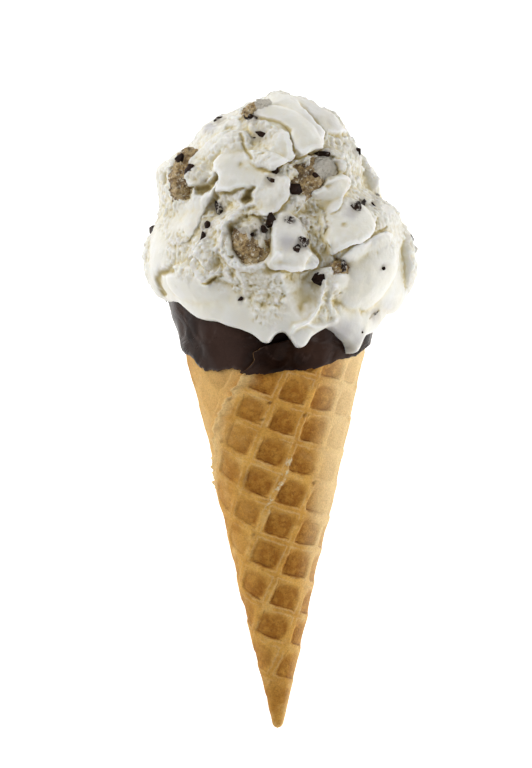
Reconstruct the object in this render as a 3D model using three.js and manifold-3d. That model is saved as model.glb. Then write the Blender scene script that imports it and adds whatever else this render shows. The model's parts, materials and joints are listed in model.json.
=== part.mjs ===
// A rolled waffle cone with its rim dipped in dark chocolate, topped with vanilla ice cream that holds
// cookie dough and chocolate chips. It lies on its side: the scoop and the cone's tip touch the table.
//
// Units are millimetres. The pieces are made in the cone's own frame, where the tip is the origin, +Y
// runs up the axis to the mouth, +X is to the right and +Z leaves the shown side. A bearing is an angle
// about the axis, 0 at the shown side and 90 degrees at the right. The last group leans that frame over
// until it rests on z = 0.
import * as THREE from "three";
import { mergeVertices } from "three/addons/utils/BufferGeometryUtils.js";
import Module from "manifold-3d";

const wasm = await Module();
wasm.setup();

const { degToRad, radToDeg, lerp, clamp, smoothstep } = THREE.MathUtils;
const FULL_TURN = 2 * Math.PI;

// ---- Driving dimensions -------------------------------------------------------------------------------

const LIE_ANGLE = degToRad(14.6); // between the cone's axis and the table
const FLOOR_DEPTH = 1.25; // the table's distance from the tip, square to the table
const FIT_GAP = 0.3; // between two pieces that touch

const CONE_HEIGHT = 146;
const CONE_SLOPE = 0.229; // radius gained with each unit of height
const TIP_RADIUS = 1.4;
const WAFER = 2; // thickness of the rolled sheet
const MOUTH_RADIUS = TIP_RADIUS + CONE_SLOPE * CONE_HEIGHT;
const MOUTH_SHIFT = -1.4; // the mouth sits a little to the left of the tip
const MOUTH_WALL = 4;
const MOUTH_DISH = 9; // depth of the seat that the scoop is pressed into

const BLANK_DIAMETER = 159; // the round waffle that is rolled, its edge at the tip
const BLANK_TOP_BEARING = degToRad(154); // where its far edge stands highest
const SHEET_START = 30; // height at which the rolled sheet begins to show
const SEAM_SLOT = 0.025; // the angle left open beside the sheet's outer edge

const CELL_PITCH = 10.6;
const CELL_TURN = degToRad(19); // the grid's lean from the line up the shown side
const CELL_CROSSING = [5.6, 99.5]; // a crossing of two ribs on the flat sheet
const CELL_MOUTH = 7.9;
const CELL_FLOOR = 6.4;
const CELL_DEPTH = 1.1;
const FIRST_CELL = 32; // distance from the tip along the sheet

const DIP_THICKNESS = 1;
const DIP_GAP = 0.5; // from the waffle, whose facets are finer than the dip's
const DIP_LOWEST = 118.5;

const BALL = { centre: [-1, 178, 0], half: [31, 34.5, 33] };
const SKIRT = { centre: [0.5, 157, 0], half: [42, 25, 40] };
const LOBE_SINK = 1.8; // how far the lobes' middles lie inside that body
const MELT_THICKNESS = 2.7; // of the melted edge that hangs over the dip

const CHIP_SIZE = 2.1; // half the length of a chocolate chip

// ---- The sheet and how it is rolled -------------------------------------------------------------------

const CONE_ANGLE = Math.atan(CONE_SLOPE);
const SHEET_SHARE = Math.sin(CONE_ANGLE); // flat angle for each angle about the axis

// The bearing of the sheet's outer edge, at a distance from the tip along the sheet.
function seamBearing(distance) {
  const share = clamp(distance / BLANK_DIAMETER, 0, 1);
  return BLANK_TOP_BEARING - Math.acos(share) / SHEET_SHARE;
}

// A point of the flat sheet, rolled onto the cone. lift is its height above the sheet's outer face. The
// sheet is wound once round the turn below it, so that it stands clear of that turn only at its outer
// edge.
function rolledPoint(flatX, flatY, lift) {
  const distance = Math.hypot(flatX, flatY);
  const height = distance * Math.cos(CONE_ANGLE);
  const bearing = Math.atan2(flatX, flatY) / SHEET_SHARE;
  const wrap = bearing - seamBearing(distance);
  const isInside = lift < -WAFER;
  return conePoint(height, bearing, isInside ? lift : WAFER * (0.5 - wrap / FULL_TURN) + lift);
}

// A point of the cone at a bearing, lift outside its mean surface.
function conePoint(height, bearing, lift) {
  const radius = TIP_RADIUS + CONE_SLOPE * height + lift;
  const shift = MOUTH_SHIFT * smoothstep(height, 70, 125);
  return new THREE.Vector3(radius * Math.sin(bearing) + shift, height, radius * Math.cos(bearing));
}

// ---- Solids -------------------------------------------------------------------------------------------

// A closed geometry as a solid that can be joined and cut.
function toSolid(geometry) {
  geometry.deleteAttribute("normal");
  geometry.deleteAttribute("uv");
  const merged = mergeVertices(geometry, 1e-4);
  const solid = new wasm.Manifold(
    new wasm.Mesh({
      numProp: 3,
      vertProperties: new Float32Array(merged.attributes.position.array),
      triVerts: new Uint32Array(merged.index.array),
    }),
  );
  if (solid.volume() < 0) throw new Error("a solid is inside out");
  return solid;
}

// A solid's largest piece as a geometry, so that loose scraps are dropped.
function toGeometry(solid) {
  const parts = solid.decompose().sort((a, b) => b.volume() - a.volume());
  const mesh = parts[0].getMesh();
  const geometry = new THREE.BufferGeometry();
  geometry.setAttribute("position", new THREE.BufferAttribute(mesh.vertProperties, 3));
  geometry.setIndex(new THREE.BufferAttribute(mesh.triVerts, 1));
  return geometry;
}

const joined = (solids) => solids.reduce((whole, solid) => whole.add(solid));
const cut = (solid, cutters) => cutters.reduce((rest, cutter) => rest.subtract(cutter), solid);

// Moves each vertex of a geometry to where place puts it.
function reshaped(geometry, place) {
  const position = geometry.attributes.position;
  const vertex = new THREE.Vector3();
  for (let i = 0; i < position.count; i++) {
    vertex.copy(place(vertex.fromBufferAttribute(position, i)));
    position.setXYZ(i, vertex.x, vertex.y, vertex.z);
  }
  return geometry;
}

// A solid swept round the axis. outline(turn) gives the points of one section, from the axis below to the
// axis above, as vectors; the first and the last are the same for every turn. A lathe gives the closed
// net.
function turned(columns, outline) {
  const sections = Array.from({ length: columns + 1 }, (_, i) => outline((i % columns) / columns));
  const rows = sections[0].length;
  const net = new THREE.LatheGeometry(
    Array.from({ length: rows }, () => new THREE.Vector2()),
    columns,
  );
  const position = net.attributes.position;
  for (let i = 0; i <= columns; i++) {
    for (let j = 0; j < rows; j++) position.setXYZ(i * rows + j, ...sections[i][j].toArray());
  }
  return toSolid(net);
}

// ---- The waffle cone ----------------------------------------------------------------------------------

const CORE_DEPTH = WAFER / 2 + 1.4; // of the core's outside below the cone's mean outside
const SMOOTH_CORE_DEPTH = WAFER / 2 + 0.08; // the same where no squares are pressed
const EDGE_STEP = 5; // height between the corners of the sheet's outer edge
const END_STEP = 1; // the sheet ends this much inside the core's ends
const CORE_COLUMNS = 24;
const CORE_SINKS = [28, 36]; // heights between which the core drops away below the sheet
const CORE_HEIGHTS = [0, 1.2, ...CORE_SINKS, 80, 100, 125];
const LATTICE_CELLS = 30; // along each side of the block that the sheet is cut from
const BLOCK_BOTTOM = -1.3 * CORE_DEPTH; // the block reaches a little way into the core
const CUTTER_DEPTH = 40;
const DOME = 1e-4; // see dome below

// The solid inside the sheet: from the tip to the rim, over it and down into the dish.
function core(proud, lowest, rimHeight, sunk) {
  const between = CORE_HEIGHTS.filter((height) => height > lowest && height < rimHeight);
  const heights = [lowest, ...between, rimHeight];
  return turned(CORE_COLUMNS, (turn) => {
    const bearing = turn * FULL_TURN;
    const side = (height) => conePoint(height, bearing, proud - sunk * smoothstep(height, ...CORE_SINKS));
    const dish = [1, 0.94, 0.7, 0.35].map((share) => {
      const edge = conePoint(rimHeight, bearing, -MOUTH_WALL - proud);
      const depth = MOUTH_DISH * Math.sqrt(1 - share * share);
      return new THREE.Vector3(lerp(MOUTH_SHIFT, edge.x, share), rimHeight - depth, edge.z * share);
    });
    return [
      new THREE.Vector3(0, lowest - proud, 0),
      ...heights.map(side),
      ...dish,
      new THREE.Vector3(MOUTH_SHIFT, rimHeight - MOUTH_DISH, 0),
    ];
  });
}

// A place on the flat sheet, counted in cells from the middle of its lattice.
function onLattice(column, row) {
  const place = new THREE.Vector2(column * CELL_PITCH, row * CELL_PITCH);
  return place.rotateAround(new THREE.Vector2(), -CELL_TURN).add(new THREE.Vector2(...CELL_CROSSING));
}

// While it is cut out, the flat sheet is very slightly domed, so that no corners of its lattice are
// merged away.
const dome = (point) => DOME * (point.x * point.x + point.y * point.y);

// A block of the flat sheet, divided along the middle of every rib.
function latticeBlock(lift) {
  const block = new THREE.BoxGeometry(LATTICE_CELLS, LATTICE_CELLS, 1, LATTICE_CELLS, LATTICE_CELLS, 1);
  return reshaped(block, (v) => {
    const point = onLattice(v.x, v.y);
    return new THREE.Vector3(point.x, point.y, (v.z > 0 ? lift : BLOCK_BOTTOM) - dome(point));
  });
}

// One pressed square, whose sides taper down to its floor.
function pressedSquare(column, row) {
  const block = new THREE.BoxGeometry(1, 1, 1);
  return toSolid(
    reshaped(block, (v) => {
      const side = (v.z > 0 ? CELL_MOUTH : CELL_FLOOR) / CELL_PITCH;
      const point = onLattice(column + side * v.x, row + side * v.y);
      return new THREE.Vector3(point.x, point.y, (v.z > 0 ? 0.3 : -CELL_DEPTH) - dome(point));
    }),
  );
}

// The squares are pressed from near the tip up to just under the dip.
function pressedSquares() {
  const squares = [];
  for (let i = 0; i < LATTICE_CELLS; i++) {
    for (let j = 0; j < LATTICE_CELLS; j++) {
      const place = [i + 0.5 - LATTICE_CELLS / 2, j + 0.5 - LATTICE_CELLS / 2];
      const middle = onLattice(...place);
      const bearing = Math.atan2(middle.x, middle.y) / SHEET_SHARE;
      const wrap = bearing - seamBearing(middle.length());
      const isOnSheet = wrap > -0.2 && wrap < FULL_TURN + 0.2 && middle.length() > FIRST_CELL;
      const isBare = middle.length() * Math.cos(CONE_ANGLE) < dipEdge(bearing) + CELL_PITCH / 2;
      if (isOnSheet && isBare) squares.push(pressedSquare(...place));
    }
  }
  return squares;
}

// The flat sheet's outline: up its outer edge, round the rim, and back down the same edge one turn later.
function sheetOutline(lowest, rimHeight, firstWrap) {
  const lastWrap = FULL_TURN - SEAM_SLOT + firstWrap;
  const heights = [lowest];
  for (let next = EDGE_STEP; next < rimHeight; next += EDGE_STEP) if (next > lowest) heights.push(next);
  const distances = [...heights, rimHeight].map((height) => height / Math.cos(CONE_ANGLE));
  const point = (distance, wrap) => {
    const angle = (seamBearing(distance) + wrap) * SHEET_SHARE;
    return new THREE.Vector2(distance * Math.sin(angle), distance * Math.cos(angle));
  };
  const arcWraps = Array.from({ length: CORE_COLUMNS - 1 }, (_, i) =>
    lerp(firstWrap, lastWrap, (i + 1) / CORE_COLUMNS),
  );
  const arc = (distance) => arcWraps.map((wrap) => point(distance, wrap));
  const edge = distances.map((distance) => point(distance, firstWrap));
  const end = distances.map((distance) => point(distance, lastWrap));
  return new THREE.Shape([
    ...edge,
    ...arc(distances.at(-1)),
    ...end.reverse(),
    ...arc(distances[0]).reverse(),
  ]);
}

// The rolled sheet from one height to another, with squares pressed into it. proud grows it outwards.
function rolledSheet(proud, lowest, rimHeight, squares) {
  const shape = sheetOutline(lowest, rimHeight, -proud / MOUTH_RADIUS);
  const outline = new THREE.ExtrudeGeometry(shape, { depth: CUTTER_DEPTH, bevelEnabled: false });
  outline.translate(0, 0, -CUTTER_DEPTH / 2);
  const flat = toSolid(latticeBlock(proud)).intersect(toSolid(outline));
  return toSolid(reshaped(toGeometry(cut(flat, squares)), (v) => rolledPoint(v.x, v.y, v.z + dome(v))));
}

function coneBody(proud, lowest, rimHeight, squares = []) {
  const sheet = rolledSheet(proud, Math.max(lowest + END_STEP, SHEET_START), rimHeight - END_STEP, squares);
  const sunk = squares.length ? CORE_DEPTH : SMOOTH_CORE_DEPTH;
  return core(proud, lowest, rimHeight, sunk).add(sheet);
}

// ---- The chocolate dip --------------------------------------------------------------------------------

// Height of the dip's lower edge: lowest left of the front, higher at the right, with small ragged waves.
function dipEdge(bearing) {
  const slant = 4.6 * (1 - Math.cos(bearing + degToRad(12)));
  const waves = 0.7 * Math.sin(5 * bearing + 0.6) + 0.45 * Math.sin(11 * bearing + 2);
  return DIP_LOWEST + slant + waves;
}

// Everything below the dip's edge.
function belowDip() {
  return turned(48, (turn) => {
    const bearing = turn * FULL_TURN;
    const rim = new THREE.Vector3(Math.sin(bearing), 0, Math.cos(bearing)).multiplyScalar(1.4 * MOUTH_RADIUS);
    return [
      new THREE.Vector3(0, DIP_LOWEST - 30, 0),
      rim.clone().setY(DIP_LOWEST - 30),
      rim.clone().setY(dipEdge(bearing)),
      rim.clone().multiplyScalar(0.5).setY(dipEdge(bearing)),
      new THREE.Vector3(0, DIP_LOWEST, 0),
    ];
  });
}

function chocolateDip() {
  const outside = coneBody(DIP_GAP + DIP_THICKNESS, DIP_LOWEST - 10, CONE_HEIGHT);
  const inside = coneBody(DIP_GAP, DIP_LOWEST - 20, CONE_HEIGHT + 3);
  return cut(outside, [inside, belowDip()]);
}

// ---- The ice cream ------------------------------------------------------------------------------------

// The melted edge hangs lower at the front, and runs down in drips: [bearing, length, half width], where
// the bearing and the half width are in degrees.
const DRIPS = [
  [-8, 4.6, 9],
  [12.5, 6.2, 6.5],
  [47, 8.6, 8],
  [84, 3, 10],
  [118, 5.5, 8],
  [160, 7, 9],
  [205, 4, 12],
  [243, 6.5, 8],
  [284, 3, 9],
];

function meltEdge(bearing) {
  const base = 139 - 6.5 * Math.cos(bearing - degToRad(25));
  return DRIPS.reduce((height, [at, length, width]) => {
    const away = radToDeg(bearing) - at;
    const turns = (away - 360 * Math.round(away / 360)) / width;
    return height - length * Math.exp(-turns * turns);
  }, base);
}

// The melted edge as a turned solid: a rounded lip that lies on the dip and runs up into the skirt.
function meltedEdge() {
  const lip = [
    [-0.2, -1.5],
    [0, 0.5],
    [0.9, 0.85],
    [3.2, 1],
    [7, 0.95],
  ];
  return turned(48, (turn) => {
    const bearing = turn * FULL_TURN;
    const edge = meltEdge(bearing);
    const direction = new THREE.Vector3(Math.sin(bearing), 0, Math.cos(bearing));
    const onDip = (up, out) => {
      const radius = TIP_RADIUS + CONE_SLOPE * up + DIP_THICKNESS + out;
      return direction.clone().multiplyScalar(radius).setY(up);
    };
    const rolled = lip.map(([up, share]) => onDip(edge + up, WAFER / 2 + share * MELT_THICKNESS));
    const shoulder = direction.clone().multiplyScalar(39).setY(152);
    return [new THREE.Vector3(0, 138, 0), ...rolled, shoulder, new THREE.Vector3(0, 156, 0)];
  });
}

// The point of the scoop's plain body at a place on the shown side, with its outward direction.
function frontOfScoop(across, up) {
  const hits = [BALL, SKIRT].map(({ centre, half }) => {
    const x = (across - centre[0]) / half[0];
    const y = (up - centre[1]) / half[1];
    const z = Math.sqrt(Math.max(0, 1 - x * x - y * y));
    const point = new THREE.Vector3(across, up, z * half[2]);
    return { point, outward: new THREE.Vector3(x / half[0], y / half[1], z / half[2]).normalize() };
  });
  return hits[0].point.z > hits[1].point.z ? hits[0] : hits[1];
}

// The same at a bearing, all the way round.
function sideOfScoop(bearing, up) {
  const hits = [BALL, SKIRT].map(({ centre, half }) => {
    const y = clamp((up - centre[1]) / half[1], -0.98, 0.98);
    const ring = Math.sqrt(1 - y * y);
    const x = ring * Math.sin(bearing);
    const z = ring * Math.cos(bearing);
    const point = new THREE.Vector3(centre[0] + half[0] * x, up, half[2] * z);
    const outward = new THREE.Vector3(x / half[0], y / half[1], z / half[2]).normalize();
    return { point, outward, reach: half[0] * ring };
  });
  return hits[0].reach > hits[1].reach ? hits[0] : hits[1];
}

// The frame of a lobe on the scoop. turn spins its long axis in the surface and tip lifts that axis's far
// end out of the surface, both in degrees.
function lobeFrame({ point, outward }, { turn = 0, tip = 0, lift = 0 }) {
  const level = new THREE.Vector3(0, 1, 0).cross(outward).normalize();
  const upward = outward.clone().cross(level);
  const frame = new THREE.Matrix4().makeBasis(level, upward, outward);
  frame.multiply(new THREE.Matrix4().makeRotationZ(degToRad(turn)));
  frame.multiply(new THREE.Matrix4().makeRotationY(degToRad(-tip)));
  return frame.setPosition(point.clone().addScaledVector(outward, lift));
}

function ellipsoid({ half, frame, detail }) {
  const ball = new THREE.IcosahedronGeometry(1, detail);
  ball.scale(...half);
  ball.applyMatrix4(frame);
  return toSolid(ball);
}

// How far the outermost of these ellipsoids reaches along the direction out of a place on the scoop.
function reachOf(ellipsoids, { point, outward }) {
  const reaches = ellipsoids.map(({ half, frame }) => {
    const toUnitBall = frame.clone().scale(new THREE.Vector3(...half)).invert();
    const from = point.clone().applyMatrix4(toUnitBall);
    const along = point.clone().add(outward).applyMatrix4(toUnitBall).sub(from);
    const middle = from.dot(along) / along.lengthSq();
    const inside = middle * middle - (from.lengthSq() - 1) / along.lengthSq();
    return inside > 0 ? Math.sqrt(inside) - middle : 0;
  });
  return Math.max(0, ...reaches);
}

// The folds and lobes of the shown side: [across, up] on the scoop, half sizes, and how each one lies.
const SHOWN_LOBES = {
  top_flap: { at: [2, 200], half: [14, 9, 5.5], turn: -45, lift: -0.5 },
  back_flap: { at: [12, 197], half: [10, 7, 4.5], turn: -42 },
  chip_block: { at: [-5, 192], half: [12, 8, 5.5], turn: -18, lift: 1, tip: 10 },
  left_shoulder: { at: [-19, 191], half: [12, 8, 5], turn: 30, lift: -0.8 },
  left_edge: { at: [-33, 180], half: [7.5, 10, 9], lift: 0 },
  middle_petal: { at: [-7, 180], half: [17, 12, 5.5], turn: -14, lift: 0.6, tip: 10 },
  left_flake: { at: [-24, 185], half: [9, 6, 4], turn: 52, lift: 1 },
  diagonal_fold: { at: [-24, 168], half: [17, 8, 5], turn: 56, lift: 0.6 },
  dough_ring: { at: [-10, 161], half: [16, 14, 6], lift: -0.6 },
  tongue: { at: [4, 159], half: [13, 8, 5], turn: -18, lift: 1, tip: 14 },
  left_crumb: { at: [-19, 154], half: [8, 8, 5], lift: 1 },
  left_cheek: { at: [-36, 158], half: [8, 11, 10], lift: -2 },
  right_flap: { at: [17, 176], half: [12, 9, 4.5], turn: 60, lift: 0.6, tip: 10 },
  right_round: { at: [25, 166], half: [14, 10, 6], turn: 70 },
  right_top: { at: [19, 185], half: [10, 9, 4.5], turn: 40, lift: -0.4 },
  right_cheek: { at: [35, 166], half: [8, 12, 10], lift: -0.5 },
  right_melt: { at: [31, 150], half: [17, 12, 8], turn: 60, lift: -1 },
  right_low: { at: [36, 146], half: [11, 9, 10], lift: -2.2 },
  lower_panel: { at: [14, 144], half: [13, 10, 4.5], turn: 70, lift: 0.4 },
  lower_crumb: { at: [-3, 145], half: [13, 11, 4.5], lift: -0.3 },
  left_melt: { at: [-24, 146], half: [15, 9, 5], turn: -24 },
};

// The lobes of the sides and the back are spread by a rule.
const REST_LOBES = 10;
const REST_SPREAD = degToRad(100); // bearings to each side of the back

// A repeatable stream of numbers from 0 to 1.
function numberStream(seed) {
  let state = seed;
  return () => {
    state = (state * 16807) % 2147483647;
    return state / 2147483647;
  };
}

function restLobes() {
  const next = numberStream(2024);
  return Array.from({ length: REST_LOBES }, (_, i) => {
    const up = lerp(146, 194, (i + 0.5) / REST_LOBES);
    const bearing = Math.PI + REST_SPREAD * Math.sin(i * 2.4);
    const half = [lerp(14, 19, next()), lerp(10, 13, next()), lerp(4.5, 5.5, next())];
    const lie = { turn: 180 * next(), lift: lerp(-2, -0.6, next()), tip: lerp(-8, 8, next()) };
    return { half, frame: lobeFrame(sideOfScoop(bearing, up), lie), detail: 1 };
  });
}

function shownLobes() {
  return Object.values(SHOWN_LOBES).map((lobe) => {
    const frame = lobeFrame(frontOfScoop(...lobe.at), { ...lobe, lift: (lobe.lift ?? 0) - LOBE_SINK });
    return { half: lobe.half, frame, detail: lobe.half[0] > 13 ? 2 : 1 };
  });
}

const lobes = [...shownLobes(), ...restLobes()];

// Chocolate chips stand partly out of the ice cream: [across, up] on the shown side.
const SHOWN_CHIPS = [
  [-19.6, 203],
  [-8.6, 203],
  [-5.7, 197.5],
  [28, 193],
  [-1, 185],
  [5.8, 179.3],
  [33, 177.5],
  [26.8, 173.7],
  [-19.3, 172.8],
  [4, 168.7],
  [-2, 169],
  [-24, 165.3],
  [7.8, 160.8],
  [35.2, 153],
  [13.8, 150],
  [-12, 142.8],
];
const REST_CHIPS = 10;

function chip(place, next) {
  const half = [CHIP_SIZE, CHIP_SIZE * lerp(0.6, 0.9, next()), CHIP_SIZE * lerp(0.6, 0.9, next())];
  const lie = { turn: 180 * next(), lift: reachOf(lobes, place) - 0.3 * CHIP_SIZE };
  return { half, frame: lobeFrame(place, lie), detail: 0 };
}

function chocolateChips() {
  const next = numberStream(77);
  const shown = SHOWN_CHIPS.map(([across, up]) => chip(frontOfScoop(across, up), next));
  const rest = Array.from({ length: REST_CHIPS }, (_, i) => {
    const up = lerp(150, 202, (i * 0.618) % 1);
    const bearing = Math.PI + REST_SPREAD * Math.sin(i * 1.9 + 1);
    return chip(sideOfScoop(bearing, up), next);
  });
  return [...shown, ...rest];
}

// ---- The cookie dough ---------------------------------------------------------------------------------

// Lumps of dough, sunk in the ice cream: a place on the scoop, half sizes and how much stands out.
const DOUGH = {
  cookie_dough_left: { at: [-31, 183.5], half: [4, 7.5, 5], out: 1.6 },
  cookie_dough_middle: { at: [-9.2, 161.8], half: [7, 7.5, 6], out: 1.4 },
  cookie_dough_right: { at: [13, 185], half: [8.5, 5.5, 5], turn: -20, out: 1.8 },
  cookie_dough_low: { at: [20.5, 152.5], half: [3.6, 3.2, 3.2], out: 1.2 },
  cookie_dough_top: { at: [-7, 207.5], half: [5.5, 4, 4], turn: 40, out: 0.8 },
  cookie_dough_back_left: { bearing: 235, up: 186, half: [7, 6.5, 5.5], out: 1.8 },
  cookie_dough_back_right: { bearing: 130, up: 172, half: [7.5, 6, 5.5], out: 1.8 },
  cookie_dough_back: { bearing: 183, up: 196, half: [6.5, 6, 5], out: 1.6 },
};

function doughPlace({ at, bearing, up }) {
  return at ? frontOfScoop(...at) : sideOfScoop(degToRad(bearing), up);
}

// A lump is a ball pressed into shallow facets. grown makes it larger all round.
function doughLump(lump, grown) {
  const ball = new THREE.IcosahedronGeometry(1, 1);
  reshaped(ball, (v) => {
    const bumps = 0.06 * Math.sin(4.1 * v.x + 2) * Math.sin(5.3 * v.y + 1) + 0.05 * Math.sin(6.7 * v.z);
    return v.multiplyScalar(1 + bumps);
  });
  const place = doughPlace(lump);
  const lift = reachOf(lobes, place) + lump.out - lump.half[2];
  ball.scale(...lump.half.map((size) => size + grown));
  ball.applyMatrix4(lobeFrame(place, { turn: lump.turn, lift }));
  return toSolid(ball);
}

// ---- Putting it together ------------------------------------------------------------------------------

// Everything below the table, in the cone's frame.
function belowTable() {
  const block = new THREE.BoxGeometry(200, 400, 60);
  block.translate(0, 100, -30 - FLOOR_DEPTH);
  block.rotateX(-LIE_ANGLE);
  return toSolid(block);
}

const table = belowTable();
const dough = Object.entries(DOUGH).map(([name, lump]) => ({
  name,
  solid: doughLump(lump, 0),
  pocket: doughLump(lump, FIT_GAP),
}));

function iceCream() {
  const body = [BALL, SKIRT].map(({ centre, half }) => {
    return { half, frame: new THREE.Matrix4().setPosition(...centre), detail: 3 };
  });
  const lumps = [...body, ...lobes, ...chocolateChips()].map(ellipsoid);
  const whole = joined([meltedEdge(), ...lumps]);
  const seat = coneBody(DIP_THICKNESS + 2 * DIP_GAP, DIP_LOWEST - 10, CONE_HEIGHT + FIT_GAP);
  return cut(whole, [seat, ...dough.map(({ pocket }) => pocket)]);
}

const WAFFLE = { color: 0xd2a050, roughness: 0.65, metalness: 0 };
const DARK_CHOCOLATE = { color: 0x2c1b15, roughness: 0.35, metalness: 0 };
const VANILLA = { color: 0xeeeadb, roughness: 0.45, metalness: 0 };
const COOKIE_DOUGH = { color: 0x9a7b4f, roughness: 0.7, metalness: 0 };

function piece(name, solid, finish) {
  const mesh = new THREE.Mesh(toGeometry(solid), new THREE.MeshStandardMaterial(finish));
  mesh.name = name;
  return mesh;
}

const cone = new THREE.Group();
cone.add(
  piece("waffle_cone", cut(coneBody(0, 0, CONE_HEIGHT, pressedSquares()), [table]), WAFFLE),
  piece("chocolate_dip", cut(chocolateDip(), [table]), DARK_CHOCOLATE),
  piece("ice_cream", cut(iceCream(), [table]), VANILLA),
  ...dough.map(({ name, solid }) => piece(name, solid, COOKIE_DOUGH)),
);
cone.rotation.x = LIE_ANGLE;

// The origin is the middle of the footprint, on the table.
const iceCreamCone = new THREE.Group();
iceCreamCone.add(cone);
const box = new THREE.Box3().setFromObject(iceCreamCone, true);
const middle = box.getCenter(new THREE.Vector3());
cone.position.set(-middle.x, -middle.y, FLOOR_DEPTH);

export default iceCreamCone;
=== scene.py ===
# %% [markdown]
# # An ice cream cone
# A rolled waffle cone, its rim dipped in dark chocolate, with a scoop of vanilla ice cream that holds
# cookie dough and chocolate chips. A cone can't stand by itself, so it lies on a table and the camera
# looks down on it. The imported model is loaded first. It stays a fixed frame: every piece made here takes
# the place of one of its nodes, at that node's size and in its place.

# %% Load the frame
import json
from functools import partial
from math import atan, cos, pi, radians, sin, tau
from random import Random

import bmesh
import bpy
import numpy as np
from mathutils import Matrix, Vector, noise

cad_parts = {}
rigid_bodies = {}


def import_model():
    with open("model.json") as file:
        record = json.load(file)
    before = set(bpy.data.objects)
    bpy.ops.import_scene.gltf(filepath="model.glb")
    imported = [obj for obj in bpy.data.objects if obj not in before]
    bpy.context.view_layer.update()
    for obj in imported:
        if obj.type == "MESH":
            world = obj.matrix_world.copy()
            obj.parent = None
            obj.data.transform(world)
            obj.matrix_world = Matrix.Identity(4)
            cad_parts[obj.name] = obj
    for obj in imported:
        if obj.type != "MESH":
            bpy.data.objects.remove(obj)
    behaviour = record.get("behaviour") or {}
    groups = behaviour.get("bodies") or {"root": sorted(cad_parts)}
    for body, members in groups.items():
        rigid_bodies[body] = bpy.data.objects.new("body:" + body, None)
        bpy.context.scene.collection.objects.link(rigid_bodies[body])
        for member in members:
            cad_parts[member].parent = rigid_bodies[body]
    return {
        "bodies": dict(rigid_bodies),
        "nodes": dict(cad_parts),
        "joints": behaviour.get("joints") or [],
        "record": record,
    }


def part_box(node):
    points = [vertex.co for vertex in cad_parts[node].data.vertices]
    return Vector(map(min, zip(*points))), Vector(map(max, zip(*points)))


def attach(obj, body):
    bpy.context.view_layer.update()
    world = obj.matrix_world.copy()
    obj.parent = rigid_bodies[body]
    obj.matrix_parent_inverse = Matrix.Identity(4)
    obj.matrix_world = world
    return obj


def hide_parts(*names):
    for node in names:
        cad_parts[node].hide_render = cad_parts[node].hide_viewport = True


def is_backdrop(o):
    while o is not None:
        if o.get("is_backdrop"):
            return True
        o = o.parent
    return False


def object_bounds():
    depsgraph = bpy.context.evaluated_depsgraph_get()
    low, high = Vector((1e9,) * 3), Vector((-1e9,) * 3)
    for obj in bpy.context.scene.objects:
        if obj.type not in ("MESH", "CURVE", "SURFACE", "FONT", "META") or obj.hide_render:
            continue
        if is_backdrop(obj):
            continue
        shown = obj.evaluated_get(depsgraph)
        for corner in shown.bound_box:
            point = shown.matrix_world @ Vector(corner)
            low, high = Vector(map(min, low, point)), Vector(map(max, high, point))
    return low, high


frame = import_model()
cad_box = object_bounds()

print("nodes:", ", ".join(sorted(frame["nodes"])))

# %% [markdown]
# ## Where the cone lies
# It is easier to shape food upright. So each piece is made in millimetres in the cone's own frame, and
# one matrix lays it down at the end. In that frame the tip is the origin, +Y runs up the axis, +X is to
# the right and +Z leaves the shown side. A bearing is an angle about the axis, 0 at the shown side.

# %% The cone's own frame
MM = 0.001
LIE_ANGLE = radians(14.6)  # between the cone's axis and the table
CONE_TIP = Vector((-1.304, -102.919, 1.25))  # where the tip lies, in millimetres
LIE_DOWN = Matrix.Scale(MM, 4) @ Matrix.Translation(CONE_TIP) @ Matrix.Rotation(LIE_ANGLE, 4, "X")

CONE_HEIGHT = 146
CONE_SLOPE = 0.229  # radius gained with each millimetre of height
TIP_RADIUS = 1.4
WAFER = 2  # thickness of the rolled sheet
MOUTH_SHIFT = -1.4  # the mouth sits a little to the left of the tip
SHIFT_HEIGHTS = (70, 125)  # between which the cone leans that way
BULGE_HEIGHT, BULGE_LENGTH = 27, 18  # where the cone is a little too wide, and over how far
CONE_ANGLE = atan(CONE_SLOPE)
SHEET_SHARE = sin(CONE_ANGLE)  # angle on the flat sheet for each angle about the axis


def mix(a, b, share):
    return a + (b - a) * share


def smooth_step(value, start, end):
    """0 at start and below, 1 at end and above, with a smooth rise between. It works on arrays."""
    share = np.clip((np.asarray(value, float) - start) / (end - start), 0, 1)
    return share * share * (3 - 2 * share)


def between(value, start, full, fading, end):
    """0 outside start and end, 1 from full to fading, and smooth between them."""
    return smooth_step(value, start, full) * (1 - smooth_step(value, fading, end))


def bell(value, width):
    """1 where the value is 0, and down to nearly 0 at twice the width."""
    return np.exp(-((value / width) ** 2))


def degrees_from(bearing, start=0):
    """How far a bearing is turned from one in degrees, between -180 and 180."""
    return (np.degrees(bearing) - start + 180) % 360 - 180


def sideways(bearing):
    """The level direction that the rolled sheet's edge faces at a bearing."""
    return np.stack([-np.cos(bearing), 0 * bearing, np.sin(bearing)], -1)


def cone_radius(height):
    """Radius of the cone's mean surface."""
    return TIP_RADIUS + CONE_SLOPE * height


def on_cone(height, bearing, lift):
    """The points of the cone at these heights and bearings, lift outside its mean surface."""
    radius = cone_radius(height) + lift
    bulge = bell(height - BULGE_HEIGHT, BULGE_LENGTH)
    across = radius * (1 + 0.09 * bulge) * np.sin(bearing)
    shift = MOUTH_SHIFT * smooth_step(height, *SHIFT_HEIGHTS) + 0.5 * bulge
    return np.stack([across + shift, height + 0 * bearing, radius * np.cos(bearing)], -1)


# %% [markdown]
# ## From points to pieces
# Most pieces start from a bmesh operator: a grid that is wrapped round the axis, or a ball. NumPy then
# moves all of its points at once, which is much faster than a loop. A piece joins the frame when it is
# finished: it is laid down, rides on the body and hides the node that it stands for.

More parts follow.
